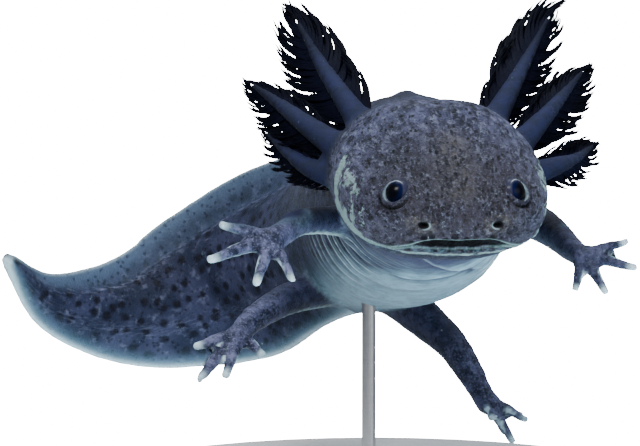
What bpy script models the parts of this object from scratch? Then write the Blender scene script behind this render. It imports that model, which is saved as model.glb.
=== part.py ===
"""Axolotl, life size, caught in mid swim and held over a round base by one slim rod.

Sizes are in millimetres, turned into metres as each mesh is made. +Z is up, the animal faces -Y, and the
origin is the centre of the base's underside. "Right" and "left" are the animal's own: its right is at -X.
"""

import math

import bmesh
import bpy
from mathutils import Matrix, Vector

MM = 0.001
GAP = 0.3                       # clearance between neighbouring solids

# ---- stand
BASE_RADIUS = 65.0
BASE_HEIGHT = 7.0
BASE_EDGE_ROUND = 2.0
BASE_SEGMENTS = 40
ROD_RADIUS = 1.5
ROD_PLACE = (-1.5, 9.0)         # where the rod stands on the base
ROD_TOP = 60.0                  # inside the belly, before the belly's shape is cut out of it
COLLAR_RADIUS = 4.5
COLLAR_HEIGHT = 3.5

# ---- head: a flattened, squarish ovoid in its own axes (x to its left, y forward, z up)
HEAD_CENTRE = (11.0, -66.4, 75.4)
HEAD_YAW = math.radians(8.0)    # turned towards its left
HEAD_PITCH = math.radians(16.0)  # nose down
HEAD_HALF_WIDTH = 20.5
HEAD_FRONT = 25.8
HEAD_BACK = 27.5
HEAD_TOP = (14.8, 11.0)         # height over the centre: at the nape, at the snout
HEAD_BOTTOM = (14.4, 11.2)      # depth below the centre: at the throat, at the chin
HEAD_PLAN_POWER = 2.31          # 2 is an ellipse, more is squarer
HEAD_TOP_POWER = 2.0
HEAD_BOTTOM_POWER = 2.4
HEAD_MERIDIANS = 28
HEAD_RINGS = 16

EYE_RADIUS = 2.7
EYE_PLACE = (11.6, 18.3, 5.3)   # on the head's surface, left eye; the right one is mirrored
EYE_STANDS_OUT = 1.1            # how far the ball rises over the skin
EYE_SEGMENTS = 16

# mouth: a thin cut that leaves the jaw as a piece of its own
MOUTH_FRONT_Z = -3.1            # at the front of the snout
MOUTH_SLOPE = math.radians(-7.0)  # the cut drops towards the cheeks
JAW_HINGE_Y = -2.0              # the jaw ends here, below and behind the eyes

# ---- body: stations along the spine
#        x      y      z   half width  top  bottom  fin top  fin bottom
SPINE = (
    (10.8, -58.0, 75.2, 13.5, 10.0, 10.0, 10.0, 10.0),    # inside the head
    (10.6, -44.2, 73.2, 16.8, 14.0, 15.0, 14.0, 15.0),    # neck
    (9.2, -24.9, 70.1, 18.5, 17.6, 17.7, 18.4, 17.7),     # shoulders
    (5.4, 4.0, 65.2, 21.6, 21.2, 21.1, 24.4, 21.1),       # ribs
    (-1.8, 35.3, 59.0, 17.4, 18.5, 18.8, 22.9, 19.2),     # hips and vent
    (-12.5, 61.7, 52.8, 11.8, 14.7, 15.5, 21.3, 19.6),    # tail root
    (-25.6, 78.3, 46.8, 7.7, 12.6, 12.9, 20.9, 22.6),
    (-39.2, 87.6, 40.2, 5.4, 10.4, 10.8, 18.2, 20.4),
    (-52.4, 89.6, 35.2, 3.7, 7.6, 7.7, 14.6, 16.0),
    (-65.1, 84.6, 34.6, 2.5, 4.7, 5.0, 10.3, 11.2),
    (-76.2, 75.2, 38.5, 1.5, 2.5, 2.9, 5.7, 6.7),
    (-84.7, 66.2, 48.5, 0.8, 1.0, 1.0, 1.6, 1.6),         # tail tip
)
BODY_POWER = 2.1
FIN_ROOT_HALF = 1.5             # half thickness where a fin leaves the flesh
FIN_EDGE_HALF = 0.4             # half thickness at a fin's edge
SIDE_POINTS = 9                 # points on one side of a section, between its fins
# body lengths, as station numbers where one ends and the next begins
BODY_PARTS = (
    ("neck", 0.0, 1.6, 5),
    ("chest", 1.6, 3.0, 7),
    ("trunk", 3.0, 4.4, 7),
    ("tail_root", 4.4, 6.0, 7),
    ("tail_middle", 6.0, 8.0, 8),
    ("tail_end", 8.0, 11.0, 9),
)

# ---- limbs: joints from inside the body to the wrist or ankle, as x, y, z, radius
#      and digits as tip x, y, z, root radius, tip radius
ARMS_AND_LEGS = {
    "right_front": {
        "nodes": ("arm_right", "hand_right"),
        "joints": ((2.3, -27.7, 66.8, 4.4), (-5.9, -30.3, 65.2, 3.2), (-12.4, -40.0, 66.2, 2.8),
                   (-16.7, -52.2, 66.6, 2.6), (-19.0, -61.0, 65.6, 2.35)),
        "palm": (-21.4, -65.0, 64.4, 2.6),
        "digits": ((-30.8, -68.0, 67.7, 1.5, 0.85), (-33.0, -72.6, 61.5, 1.6, 0.9),
                   (-24.2, -74.0, 57.2, 1.5, 0.9), (-17.3, -71.9, 57.5, 1.4, 0.8)),
    },
    "left_front": {
        "nodes": ("arm_left", "hand_left"),
        "joints": ((23.8, -27.6, 67.6, 4.4), (31.5, -32.7, 65.4, 3.7), (35.0, -42.6, 63.7, 3.1),
                   (37.3, -53.8, 62.0, 2.5), (38.5, -58.8, 61.3, 2.2)),
        "palm": (39.5, -61.2, 60.8, 2.4),
        "digits": ((47.4, -64.3, 64.1, 1.35, 0.75), (48.8, -67.8, 59.4, 1.45, 0.8),
                   (43.2, -68.2, 54.8, 1.4, 0.8), (37.5, -66.1, 54.9, 1.3, 0.75)),
    },
    "right_hind": {
        "nodes": ("leg_right", "foot_right"),
        "joints": ((-0.4, 37.3, 50.0, 6.0), (-9.8, 31.7, 45.2, 4.1), (-18.6, 21.7, 43.8, 3.5),
                   (-25.4, 11.7, 41.0, 2.9), (-28.2, 6.8, 38.9, 2.5)),
        "palm": (-29.3, 4.6, 37.6, 2.4),
        "digits": ((-38.1, -1.0, 36.0, 1.7, 0.95), (-37.5, -4.0, 29.4, 1.8, 1.05),
                   (-31.9, -3.9, 30.1, 1.7, 1.0), (-24.4, 1.3, 34.0, 1.5, 0.9),
                   (-37.0, 5.0, 30.6, 1.6, 0.9)),
    },
    "left_hind": {
        "nodes": ("leg_left", "foot_left"),
        "joints": ((1.4, 37.0, 47.0, 6.2), (9.8, 31.2, 39.2, 4.5), (16.6, 25.8, 33.5, 3.6),
                   (20.7, 22.8, 27.6, 3.0), (23.2, 20.4, 23.2, 2.5)),
        "palm": (24.5, 19.4, 21.2, 2.6),
        "digits": ((25.2, 14.6, 18.3, 1.4, 0.8), (29.7, 13.0, 13.6, 1.5, 0.85),
                   (32.6, 14.6, 18.1, 1.4, 0.8), (32.0, 23.4, 17.8, 1.4, 0.8),
                   (28.4, 22.6, 14.2, 1.4, 0.8)),
    },
}
LIMB_BEVEL = 2                  # gives 8 sides
DIGIT_BEVEL = 1                 # gives 6 sides

# ---- gills: stalk points from inside the head to the tip, as x, y, z, radius, and filament reach on
#      the upper and lower side
GILLS = {
    "gill_right_1": (((-1.0, -57.4, 82.6, 3.4), (-7.0, -48.6, 90.7, 2.6), (-12.0, -38.2, 97.8, 2.1),
                      (-16.5, -30.2, 105.6, 0.8)), 8.2, 10.4),
    "gill_right_2": (((-4.4, -60.0, 79.4, 3.4), (-13.6, -51.5, 85.3, 2.6), (-20.0, -41.4, 89.5, 2.0),
                      (-25.6, -33.7, 93.1, 0.8)), 6.2, 8.0),
    "gill_right_3": (((-5.2, -61.4, 75.8, 3.2), (-13.4, -54.7, 77.6, 2.4), (-18.4, -47.1, 80.3, 1.8),
                      (-22.7, -39.4, 83.8, 0.7)), 3.8, 7.4),
    "gill_left_1": (((19.6, -54.0, 82.4, 3.3), (25.2, -45.6, 91.4, 2.4), (29.8, -35.2, 98.5, 1.8),
                     (34.4, -27.1, 106.3, 0.7)), 10.4, 8.4),
    "gill_left_2": (((24.4, -55.2, 79.4, 3.3), (31.8, -47.4, 86.5, 2.3), (36.8, -37.6, 91.1, 1.7),
                     (41.2, -29.8, 95.5, 0.7)), 7.0, 8.8),
    "gill_left_3": (((25.6, -58.0, 75.6, 3.1), (34.7, -50.9, 77.9, 2.2), (39.2, -43.4, 79.0, 1.6),
                     (42.9, -35.9, 80.9, 0.6)), 5.2, 8.0),
}
STALK_BEVEL = 1
TUFTS = 6                       # filament tufts on each side of a stalk
TUFT_ROOT = 1.2                 # tuft radius where it leaves the stalk
TUFT_TIP = 0.4
TUFT_LEAN = math.radians(38.0)  # towards the stalk's tip
TUFT_BACK = math.radians(30.0)  # towards the rear of the head

COLOURS = {                     # base colour, roughness, metallic
    "skin_dark": ((0.035, 0.045, 0.10), 0.45, 0.0),
    "skin_head": ((0.075, 0.075, 0.115), 0.45, 0.0),
    "skin_pale": ((0.24, 0.34, 0.38), 0.45, 0.0),
    "gill_dark": ((0.012, 0.016, 0.045), 0.5, 0.0),
    "eye_dark": ((0.006, 0.012, 0.06), 0.08, 0.0),
    "stand_white": ((0.78, 0.79, 0.80), 0.4, 0.0),
    "stand_steel": ((0.60, 0.61, 0.63), 0.3, 1.0),
}


# ---------------------------------------------------------------- scene and material helpers
def clear_scene():
    for item in list(bpy.data.objects):
        bpy.data.objects.remove(item, do_unlink=True)


def collection(name):
    made = bpy.data.collections.new(name)
    bpy.context.scene.collection.children.link(made)
    return made


def material(name):
    made = bpy.data.materials.get(name)
    if made:
        return made
    colour, roughness, metallic = COLOURS[name]
    made = bpy.data.materials.new(name)
    made.use_nodes = True
    surface = made.node_tree.nodes["Principled BSDF"]
    surface.inputs["Base Color"].default_value = (*colour, 1.0)
    surface.inputs["Roughness"].default_value = roughness
    surface.inputs["Metallic"].default_value = metallic
    made.diffuse_color = (*colour, 1.0)
    return made


def add_object(name, mesh, parts):
    made = bpy.data.objects.new(name, mesh)
    parts.objects.link(made)
    return made


def mesh_from(shape, name):
    """Ends a bmesh: outward faces, then a mesh in metres."""
    bmesh.ops.recalc_face_normals(shape, faces=shape.faces)
    bmesh.ops.scale(shape, vec=(MM, MM, MM), verts=shape.verts)
    mesh = bpy.data.meshes.new(name)
    shape.to_mesh(mesh)
    shape.free()
    return mesh


def bake(item):
    """Replaces an object's modifiers, or its curve, by the mesh they give."""
    bpy.context.view_layer.update()
    graph = bpy.context.evaluated_depsgraph_get()
    mesh = bpy.data.meshes.new_from_object(item.evaluated_get(graph))
    parts = item.users_collection[0]
    name = item.name
    placed = item.matrix_world.copy()
    bpy.data.objects.remove(item, do_unlink=True)
    mesh.name = name
    made = add_object(name, mesh, parts)
    made.matrix_world = placed
    return made


def combine(item, other, operation, solver="EXACT"):
    """One Boolean, applied."""
    change = item.modifiers.new(operation.title(), "BOOLEAN")
    change.operation = operation
    change.solver = solver
    change.object = other
    return bake(item)


def add_branches(item, branches):
    """Joins each branch to item in turn and removes it."""
    for branch in branches:
        item = combine(item, branch, "UNION")
        bpy.data.objects.remove(branch, do_unlink=True)
    return item


def finish(item, colour, flat_angle=50.0):
    item.data.materials.clear()
    item.data.materials.append(material(colour))
    item.data.shade_smooth()
    item.data.set_sharp_from_angle(angle=math.radians(flat_angle))


# ---------------------------------------------------------------- curves through a few points
def smooth_rows(rows, count):
    """count samples of a Catmull-Rom curve through rows of numbers."""
    last = len(rows) - 1
    return [smooth_row(rows, last * i / (count - 1)) for i in range(count)]


def smooth_row(rows, place):
    last = len(rows) - 1
    start = min(int(place), last - 1)
    t = place - start
    before = rows[start - 1] if start > 0 else [2 * a - b for a, b in zip(rows[0], rows[1])]
    after = rows[start + 2] if start + 2 <= last else [2 * a - b for a, b in zip(rows[-1], rows[-2])]
    corners = zip(before, rows[start], rows[start + 1], after)
    return [0.5 * (2 * b + (c - a) * t + (2 * a - 5 * b + 4 * c - d) * t ** 2
                   + (3 * b - a - 3 * c + d) * t ** 3) for a, b, c, d in corners]


def tube(name, rows, bevel, parts):
    """A closed tube along rows of x, y, z, radius."""
    curve = bpy.data.curves.new(name, "CURVE")
    curve.dimensions = "3D"
    curve.bevel_depth = MM
    curve.bevel_resolution = bevel
    curve.use_fill_caps = True
    spline = curve.splines.new("POLY")
    spline.points.add(len(rows) - 1)
    for point, (x, y, z, radius) in zip(spline.points, rows):
        point.co = (x * MM, y * MM, z * MM, 1.0)
        point.radius = radius
    made = bake(add_object(name, curve, parts))
    shape = bmesh.new()
    shape.from_mesh(made.data)
    bmesh.ops.remove_doubles(shape, verts=shape.verts, dist=1e-6)
    bmesh.ops.recalc_face_normals(shape, faces=shape.faces)
    shape.to_mesh(made.data)
    shape.free()
    return made


def round_end(rows):
    """Adds a rounded tip to the last of rows of x, y, z, radius."""
    *tip, radius = rows[-1]
    *inner, _ = rows[-2]
    along = (Vector(tip) - Vector(inner)).normalized()
    caps = [(*(Vector(tip) + along * radius * reach), radius * share)
            for reach, share in ((0.6, 0.8), (1.0, 0.35))]
    return list(rows) + caps


# ---------------------------------------------------------------- head
def head_axes():
    """The head's own axes as columns, and its centre, in millimetres."""
    turn = Matrix.Rotation(HEAD_YAW, 4, "Z") @ Matrix.Rotation(HEAD_PITCH, 4, "X")
    facing = Matrix(((1, 0, 0, 0), (0, -1, 0, 0), (0, 0, 1, 0), (0, 0, 0, 1)))
    return Matrix.Translation(HEAD_CENTRE) @ turn @ facing


def blend(pair, share):
    share = min(max(share, 0.0), 1.0)
    share = share * share * (3 - 2 * share)
    return pair[0] + (pair[1] - pair[0]) * share


def head_point(direction, grow):
    """The head's surface point that lies in a unit direction from its centre."""
    across, along, up = direction
    low, high = 0.0, 60.0
    for _ in range(40):
        reach = (low + high) / 2
        x, y, z = abs(across) * reach, along * reach, up * reach
        length = HEAD_FRONT if y > 0 else HEAD_BACK
        plan = (x / (HEAD_HALF_WIDTH + grow)) ** HEAD_PLAN_POWER + abs(y / (length + grow)) ** HEAD_PLAN_POWER
        height = blend(HEAD_TOP if z > 0 else HEAD_BOTTOM, (y + 4) / 24) + grow
        power = HEAD_TOP_POWER if z > 0 else HEAD_BOTTOM_POWER
        inside = plan ** (HEAD_TOP_POWER / HEAD_PLAN_POWER) + abs(z / height) ** power < 1
        low, high = (reach, high) if inside else (low, reach)
    return Vector(direction) * low


def head_ovoid(name, grow, parts):
    """A sphere drawn out to the head's shape, its poles at the sides."""
    shape = bmesh.new()
    bmesh.ops.create_uvsphere(shape, u_segments=HEAD_MERIDIANS, v_segments=HEAD_RINGS, radius=1.0)
    place = head_axes()
    for vertex in shape.verts:
        x, y, z = vertex.co.normalized()
        vertex.co = place @ head_point((x, y, z), grow)
    return add_object(name, mesh_from(shape, name), parts)


def sphere(name, centre, radius, segments, parts):
    shape = bmesh.new()
    bmesh.ops.create_uvsphere(shape, u_segments=segments, v_segments=segments // 2, radius=radius)
    bmesh.ops.translate(shape, vec=centre, verts=shape.verts)
    return add_object(name, mesh_from(shape, name), parts)


def jaw_block(name, grow, parts):
    """The space below the mouth and ahead of the jaw's hinge, in the head's axes."""
    deep, wide = 40.0, 60.0
    shape = bmesh.new()
    bmesh.ops.create_cube(shape, size=1.0)
    length = HEAD_FRONT + 10 - JAW_HINGE_Y
    bmesh.ops.scale(shape, vec=(wide, length + grow * 2, deep + grow * 2), verts=shape.verts)
    bmesh.ops.translate(shape, vec=(0, length / 2, -deep / 2), verts=shape.verts)
    tilt = Matrix.Rotation(-MOUTH_SLOPE, 4, "X")
    back = Vector((0, JAW_HINGE_Y, MOUTH_FRONT_Z + math.tan(MOUTH_SLOPE) * (HEAD_FRONT - JAW_HINGE_Y)))
    place = head_axes() @ Matrix.Translation(back) @ tilt
    bmesh.ops.transform(shape, matrix=place, verts=shape.verts)
    return add_object(name, mesh_from(shape, name), parts)


def make_head(parts, cutters):
    """Head, lower jaw and eyes. Returns the grown head that neighbours are cut with."""
    place = head_axes()
    head = head_ovoid("head", 0.0, parts)
    for side, sign in (("right", -1), ("left", 1)):
        on_skin = Vector((sign * EYE_PLACE[0], EYE_PLACE[1], EYE_PLACE[2]))
        outward = Vector((sign * 0.42, 0.58, 0.70)).normalized()
        centre = place @ (on_skin - outward * (EYE_RADIUS - EYE_STANDS_OUT))
        eye = sphere(f"eye_{side}", centre, EYE_RADIUS, EYE_SEGMENTS, parts)
        finish(eye, "eye_dark")
        socket = sphere(f"socket_{side}", centre, EYE_RADIUS + GAP, EYE_SEGMENTS, cutters)
        head = combine(head, socket, "DIFFERENCE")
    jaw = add_object("lower_jaw", head.data.copy(), parts)
    head = combine(head, jaw_block("jaw_space", GAP / 2, cutters), "DIFFERENCE")
    jaw = combine(jaw, jaw_block("jaw_keep", -GAP / 2, cutters), "INTERSECT")
    finish(head, "skin_head")
    finish(jaw, "skin_pale")
    return head_ovoid("head_grown", GAP, cutters)


# ---------------------------------------------------------------- body and fins
def section(row, grow):
    """One closed section across the body: flesh with a fin above and below, as side, up pairs."""
    half, top, bottom, fin_top, fin_bottom = (size + grow for size in row[3:])
    edge = min(FIN_EDGE_HALF + grow, half * 0.6)
    root = min(FIN_ROOT_HALF + grow, half * 0.8)
    side = [(edge, -fin_bottom)]
    for i in range(SIDE_POINTS):
        angle = math.pi * ((i + 0.5) / SIDE_POINTS - 0.5)
        c, s = math.cos(angle), math.sin(angle)
        height = top if s > 0 else bottom
        side.append((half * abs(c) ** (2 / BODY_POWER), height * math.copysign(abs(s) ** (2 / BODY_POWER), s)))
    side.append((edge, fin_top))
    side[1] = (root, min(side[1][1], -bottom * 0.97))
    side[-2] = (root, max(side[-2][1], top * 0.97))
    return side + [(-x, z) for x, z in reversed(side)]


def body_frame(place, step=0.02):
    """Centre, sideways and upward directions at a place along the spine."""
    here = Vector(smooth_row(SPINE, place)[:3])
    ahead = Vector(smooth_row(SPINE, min(place + step, len(SPINE) - 1))[:3])
    behind = Vector(smooth_row(SPINE, max(place - step, 0.0))[:3])
    along = (ahead - behind).normalized()
    across = along.cross(Vector((0, 0, 1))).normalized()
    return here, along, across, across.cross(along)


def body_loft(name, start, end, rings, grow, parts, pull=0.0):
    """The body between two places along the spine, its ends drawn in by pull."""
    shape = bmesh.new()
    loops = []
    for i in range(rings + 1):
        place = start + (end - start) * i / rings
        centre, along, across, up = body_frame(place)
        shift = pull if i == 0 else -pull if i == rings else 0.0
        outline = section(smooth_row(SPINE, place), grow)
        loops.append([shape.verts.new(centre + along * shift + across * x + up * z) for x, z in outline])
    count = len(loops[0])
    for one, two in zip(loops, loops[1:]):
        for i in range(count):
            k = (i + 1) % count
            shape.faces.new((one[i], one[k], two[k], two[i]))
    shape.faces.new(loops[0])
    shape.faces.new(loops[-1])
    return add_object(name, mesh_from(shape, name), parts)


def make_body(parts, cutters, head_grown):
    """Neck to tail tip. Returns the grown body that limbs and gills are cut with."""
    for name, start, end, rings in BODY_PARTS:
        piece = body_loft(name, start, end, rings, 0.0, parts, GAP / 2)
        if name == "neck":
            piece = combine(piece, head_grown, "DIFFERENCE")
        finish(piece, "skin_pale" if name in ("neck", "chest") else "skin_dark")
    return body_loft("body_grown", 0.0, 5.0, 26, GAP, cutters)


# ---------------------------------------------------------------- limbs
def half_space(name, point, normal, parts):
    """A large block whose face passes through point and which lies on the normal's side of it."""
    size = 160.0
    shape = bmesh.new()
    bmesh.ops.create_cube(shape, size=size)
    bmesh.ops.translate(shape, vec=(0, 0, size / 2), verts=shape.verts)
    turn = Vector((0, 0, 1)).rotation_difference(normal).to_matrix().to_4x4()
    bmesh.ops.transform(shape, matrix=Matrix.Translation(point) @ turn, verts=shape.verts)
    return add_object(name, mesh_from(shape, name), parts)


def make_limb(limb, body_grown, parts, cutters):
    """An arm or leg, cut off the body and divided from its hand or foot."""
    upper_name, lower_name = limb["nodes"]
    palm = limb["palm"]
    joints = smooth_rows(list(limb["joints"]) + [palm], 15)
    whole = tube(upper_name, round_end(joints), LIMB_BEVEL, parts)
    wrist = Vector(joints[-3][:3])
    heading = (Vector(joints[-2][:3]) - Vector(joints[-4][:3])).normalized()
    fingers = []
    for number, (x, y, z, root, tip) in enumerate(limb["digits"]):
        middle = [(a + b) / 2 for a, b in zip(palm[:3], (x, y, z))]
        rows = [(*palm[:3], root), (*middle, (root + tip) / 2), (x, y, z, tip)]
        fingers.append(tube(f"digit_{number}", round_end(rows), DIGIT_BEVEL, cutters))
    whole = add_branches(whole, fingers)
    hand = add_object(lower_name, whole.data.copy(), parts)
    beyond = half_space("beyond_" + upper_name, wrist - heading * GAP / 2, heading, cutters)
    before = half_space("before_" + upper_name, wrist + heading * GAP / 2, -heading, cutters)
    whole = combine(whole, beyond, "DIFFERENCE")
    whole = combine(whole, body_grown, "DIFFERENCE")
    hand = combine(hand, before, "DIFFERENCE")
    for piece in (whole, hand):
        finish(piece, "skin_dark")


# ---------------------------------------------------------------- gills
def make_gill(name, stalk_rows, reach_up, reach_down, grown, parts, cutters):
    """A tapering stalk with a row of filament tufts on each side, joined to it."""
    rows = smooth_rows(stalk_rows, 8)
    gill = tube(name, round_end(rows), STALK_BEVEL, parts)
    tufts = []
    backward = Vector((0, 1, 0))
    for sign, reach in ((1, reach_up), (-1, reach_down)):
        for i in range(TUFTS):
            share = 0.16 + 0.84 * i / (TUFTS - 1)
            here = smooth_row(stalk_rows, share * (len(stalk_rows) - 1))
            near = smooth_row(stalk_rows, share * (len(stalk_rows) - 1) - 0.05)
            root = Vector(here[:3])
            along = (root - Vector(near[:3])).normalized()
            out = along.cross(backward).normalized() * sign
            if out.z * sign < 0:
                out = -out
            length = reach * (0.62 + 0.38 * math.sin(math.pi * share ** 1.3))
            lean = TUFT_LEAN + math.radians(34.0) * share ** 4
            flat = out * math.cos(TUFT_BACK) + backward * math.sin(TUFT_BACK)
            middle = root + (flat * math.cos(lean * 0.7) + along * math.sin(lean * 0.7)) * length * 0.55
            tip = middle + (flat * math.cos(lean * 1.3) + along * math.sin(lean * 1.3)) * length * 0.45
            rows = ((*root, TUFT_ROOT * (1 - 0.4 * share)), (*middle, TUFT_ROOT * (0.85 - 0.3 * share)),
                    (*tip, TUFT_TIP))
            tufts.append(tube(f"tuft_{i}", rows, 0, cutters))
    gill = add_branches(gill, tufts)
    for cutter in grown:
        gill = combine(gill, cutter, "DIFFERENCE", "MANIFOLD")
    finish(gill, "gill_dark")


# ---------------------------------------------------------------- stand
def cylinder(name, centre, radius, bottom, top, segments, parts):
    shape = bmesh.new()
    bmesh.ops.create_cone(shape, cap_ends=True, segments=segments, radius1=radius, radius2=radius,
                          depth=top - bottom)
    bmesh.ops.translate(shape, vec=(*centre, (top + bottom) / 2), verts=shape.verts)
    return add_object(name, mesh_from(shape, name), parts)


def make_stand(body_grown, parts, cutters):
    base = cylinder("stand_base", (0, 0), BASE_RADIUS, 0.0, BASE_HEIGHT, BASE_SEGMENTS, parts)
    rounding = base.modifiers.new("Bevel", "BEVEL")
    rounding.width = BASE_EDGE_ROUND * MM
    rounding.segments = 2
    rounding.limit_method = "ANGLE"
    base = bake(base)
    collar_top = BASE_HEIGHT + GAP + COLLAR_HEIGHT
    collar = cylinder("stand_collar", ROD_PLACE, COLLAR_RADIUS, BASE_HEIGHT + GAP, collar_top, 32, parts)
    rod = cylinder("stand_rod", ROD_PLACE, ROD_RADIUS, collar_top + GAP, ROD_TOP, 20, parts)
    rod = combine(rod, body_grown, "DIFFERENCE")
    finish(base, "stand_white", 30.0)
    finish(collar, "stand_steel", 30.0)
    finish(rod, "stand_steel", 30.0)


def main():
    clear_scene()
    parts = collection("axolotl")
    cutters = collection("cutters")
    head_grown = make_head(parts, cutters)
    body_grown = make_body(parts, cutters, head_grown)
    for limb in ARMS_AND_LEGS.values():
        make_limb(limb, body_grown, parts, cutters)
    for name, (rows, reach_up, reach_down) in GILLS.items():
        make_gill(name, rows, reach_up, reach_down, (head_grown, body_grown), parts, cutters)
    make_stand(body_grown, parts, cutters)
    for cutter in cutters.objects:
        cutter.hide_render = True
        cutter.display_type = "WIRE"


main()
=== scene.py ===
"""Life-size axolotl for a display stand: one skin, eyes, gill filaments, stand finishes and a studio stage.

Lengths in the tables are millimetres in the frame's own axes: +Z up, the animal faces -Y. "Right" and "left"
are the animal's own, so its right side is at -X.
"""
import math

import bmesh
import bpy
import numpy as np
from bpy.props import FloatProperty, FloatVectorProperty, IntProperty, PointerProperty
from mathutils import Matrix, Vector


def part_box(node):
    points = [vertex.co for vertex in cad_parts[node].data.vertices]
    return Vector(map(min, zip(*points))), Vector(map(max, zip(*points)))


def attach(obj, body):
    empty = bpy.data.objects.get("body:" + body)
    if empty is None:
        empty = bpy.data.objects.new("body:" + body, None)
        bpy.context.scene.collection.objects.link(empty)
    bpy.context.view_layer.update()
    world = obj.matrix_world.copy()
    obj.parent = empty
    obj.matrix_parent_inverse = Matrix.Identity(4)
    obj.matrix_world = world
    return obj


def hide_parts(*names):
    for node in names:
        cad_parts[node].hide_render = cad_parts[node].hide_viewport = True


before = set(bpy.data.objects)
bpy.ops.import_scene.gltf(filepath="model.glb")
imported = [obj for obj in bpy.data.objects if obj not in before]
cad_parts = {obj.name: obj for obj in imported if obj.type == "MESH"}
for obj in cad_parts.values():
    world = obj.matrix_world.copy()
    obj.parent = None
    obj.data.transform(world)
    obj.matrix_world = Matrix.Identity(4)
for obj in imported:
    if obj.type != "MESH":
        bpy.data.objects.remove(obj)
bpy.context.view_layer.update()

bl_info = {
    "name": "Axolotl display model",
    "version": (1, 0, 0),
    "blender": (4, 5, 0),
    "location": "3D View > Sidebar > Axolotl",
    "description": "Builds the skin, eyes, gill filaments, stand finishes and stage of a life-size axolotl",
    "category": "Object",
}

MM = 0.001
FAR = 50.0                      # stands for "no part of this shape near here", in millimetres
UP = np.array((0.0, 0.0, 1.0))

# ---- head, a flattened ovoid in its own axes: x to its left, y forward, z up
HEAD_CENTRE = (11.0, -66.4, 75.4)
HEAD_YAW = math.radians(8.0)
HEAD_PITCH = math.radians(16.0)
HEAD_HALF_WIDTH = 20.5
HEAD_FRONT = 25.8
HEAD_BACK = 27.5
HEAD_TOP = (14.8, 11.0)         # height over the centre: at the nape, at the snout
HEAD_BOTTOM = (14.4, 11.2)      # depth below the centre: at the throat, at the chin
HEAD_TAPER = (-4.0, 20.0)       # where along y the nape's height turns into the snout's
HEAD_PLAN_POWER = 2.31
HEAD_TOP_POWER = 2.0
HEAD_BOTTOM_POWER = 2.4

# ---- body, stations along the spine: x, y, z, half width, top, bottom, fin top, fin bottom
SPINE = (
    (10.8, -58.0, 75.2, 13.5, 10.0, 10.0, 10.0, 10.0),
    (10.6, -44.2, 73.2, 16.8, 14.0, 15.0, 14.0, 15.0),
    (9.2, -24.9, 70.1, 18.5, 18.8, 17.7, 19.2, 17.7),
    (6.0, 4.0, 65.2, 21.6, 23.6, 21.1, 24.6, 21.1),
    (-1.8, 35.3, 59.0, 17.4, 18.5, 18.8, 22.9, 19.2),
    (-12.5, 61.7, 52.8, 11.8, 14.7, 15.5, 21.3, 19.6),
    (-25.6, 78.3, 46.8, 7.7, 12.6, 12.9, 20.9, 22.6),
    (-39.2, 87.6, 40.2, 5.4, 10.4, 10.8, 18.2, 20.4),
    (-52.4, 89.6, 35.2, 3.7, 7.6, 7.7, 14.6, 16.0),
    (-65.1, 84.6, 34.6, 2.5, 4.7, 5.0, 10.3, 11.2),
    (-76.2, 75.2, 38.5, 1.5, 2.5, 2.9, 5.7, 6.7),
    (-84.7, 66.2, 48.5, 0.8, 0.9, 0.9, 1.05, 1.05),
)
SPINE_SAMPLES = 441
COARSE = 8                      # every eighth sample is tried first when a point looks for its place
BODY_POWER = 2.1
FIN_ROOT_HALF = 1.5
FIN_EDGE_HALF = 0.42

# ---- limbs: joints and palm as x, y, z, radius; digits as tip x, y, z, root radius, tip radius
LIMBS = {
    "right_front": {
        "joints": ((2.3, -27.7, 66.8, 4.4), (-5.9, -30.3, 65.2, 3.2), (-12.4, -40.0, 66.2, 2.8),
                   (-16.7, -52.2, 66.6, 2.6), (-19.0, -61.0, 65.6, 2.35)),
        "palm": (-21.4, -65.0, 64.4, 2.6),
        "digits": ((-30.8, -68.0, 67.7, 1.5, 0.85), (-33.0, -72.6, 61.5, 1.6, 0.9),
                   (-24.2, -74.0, 57.2, 1.5, 0.9), (-17.3, -71.9, 57.5, 1.4, 0.8)),
        "nodes": ("arm_right", "hand_right"),
    },
    "left_front": {
        "joints": ((23.8, -27.6, 67.6, 4.4), (31.5, -32.7, 65.4, 3.7), (35.0, -42.6, 63.7, 3.1),
                   (37.3, -53.8, 62.0, 2.5), (38.5, -58.8, 61.3, 2.2)),
        "palm": (39.5, -61.2, 60.8, 2.4),
        "digits": ((47.4, -64.3, 64.1, 1.35, 0.75), (48.8, -67.8, 59.4, 1.45, 0.8),
                   (43.2, -68.2, 54.8, 1.4, 0.8), (37.5, -66.1, 54.9, 1.3, 0.75)),
        "nodes": ("arm_left", "hand_left"),
    },
    "right_hind": {
        "joints": ((-0.4, 37.3, 50.0, 6.0), (-9.8, 31.7, 45.2, 4.1), (-18.6, 21.7, 43.8, 3.5),
                   (-25.4, 11.7, 41.0, 2.9), (-28.2, 6.8, 38.9, 2.5)),
        "palm": (-29.3, 4.6, 37.6, 2.4),
        "digits": ((-38.1, -1.0, 36.0, 1.7, 0.95), (-37.5, -4.0, 29.4, 1.8, 1.05),
                   (-31.9, -3.9, 30.1, 1.7, 1.0), (-24.4, 1.3, 34.0, 1.5, 0.9),
                   (-37.0, 5.0, 30.6, 1.6, 0.9)),
        "nodes": ("leg_right", "foot_right"),
    },
    "left_hind": {
        "joints": ((1.4, 37.0, 47.0, 6.2), (9.8, 31.2, 39.2, 4.5), (16.6, 25.8, 33.5, 3.6),
                   (20.7, 22.8, 27.6, 3.0), (23.2, 20.4, 23.2, 2.5)),
        "palm": (24.5, 19.4, 21.2, 2.6),
        "digits": ((25.2, 14.6, 18.3, 1.4, 0.8), (29.7, 13.0, 13.6, 1.5, 0.85),
                   (32.6, 14.6, 18.1, 1.4, 0.8), (32.0, 23.4, 17.8, 1.4, 0.8),
                   (28.4, 22.6, 14.2, 1.4, 0.8)),
        "nodes": ("leg_left", "foot_left"),
    },
}

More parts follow.
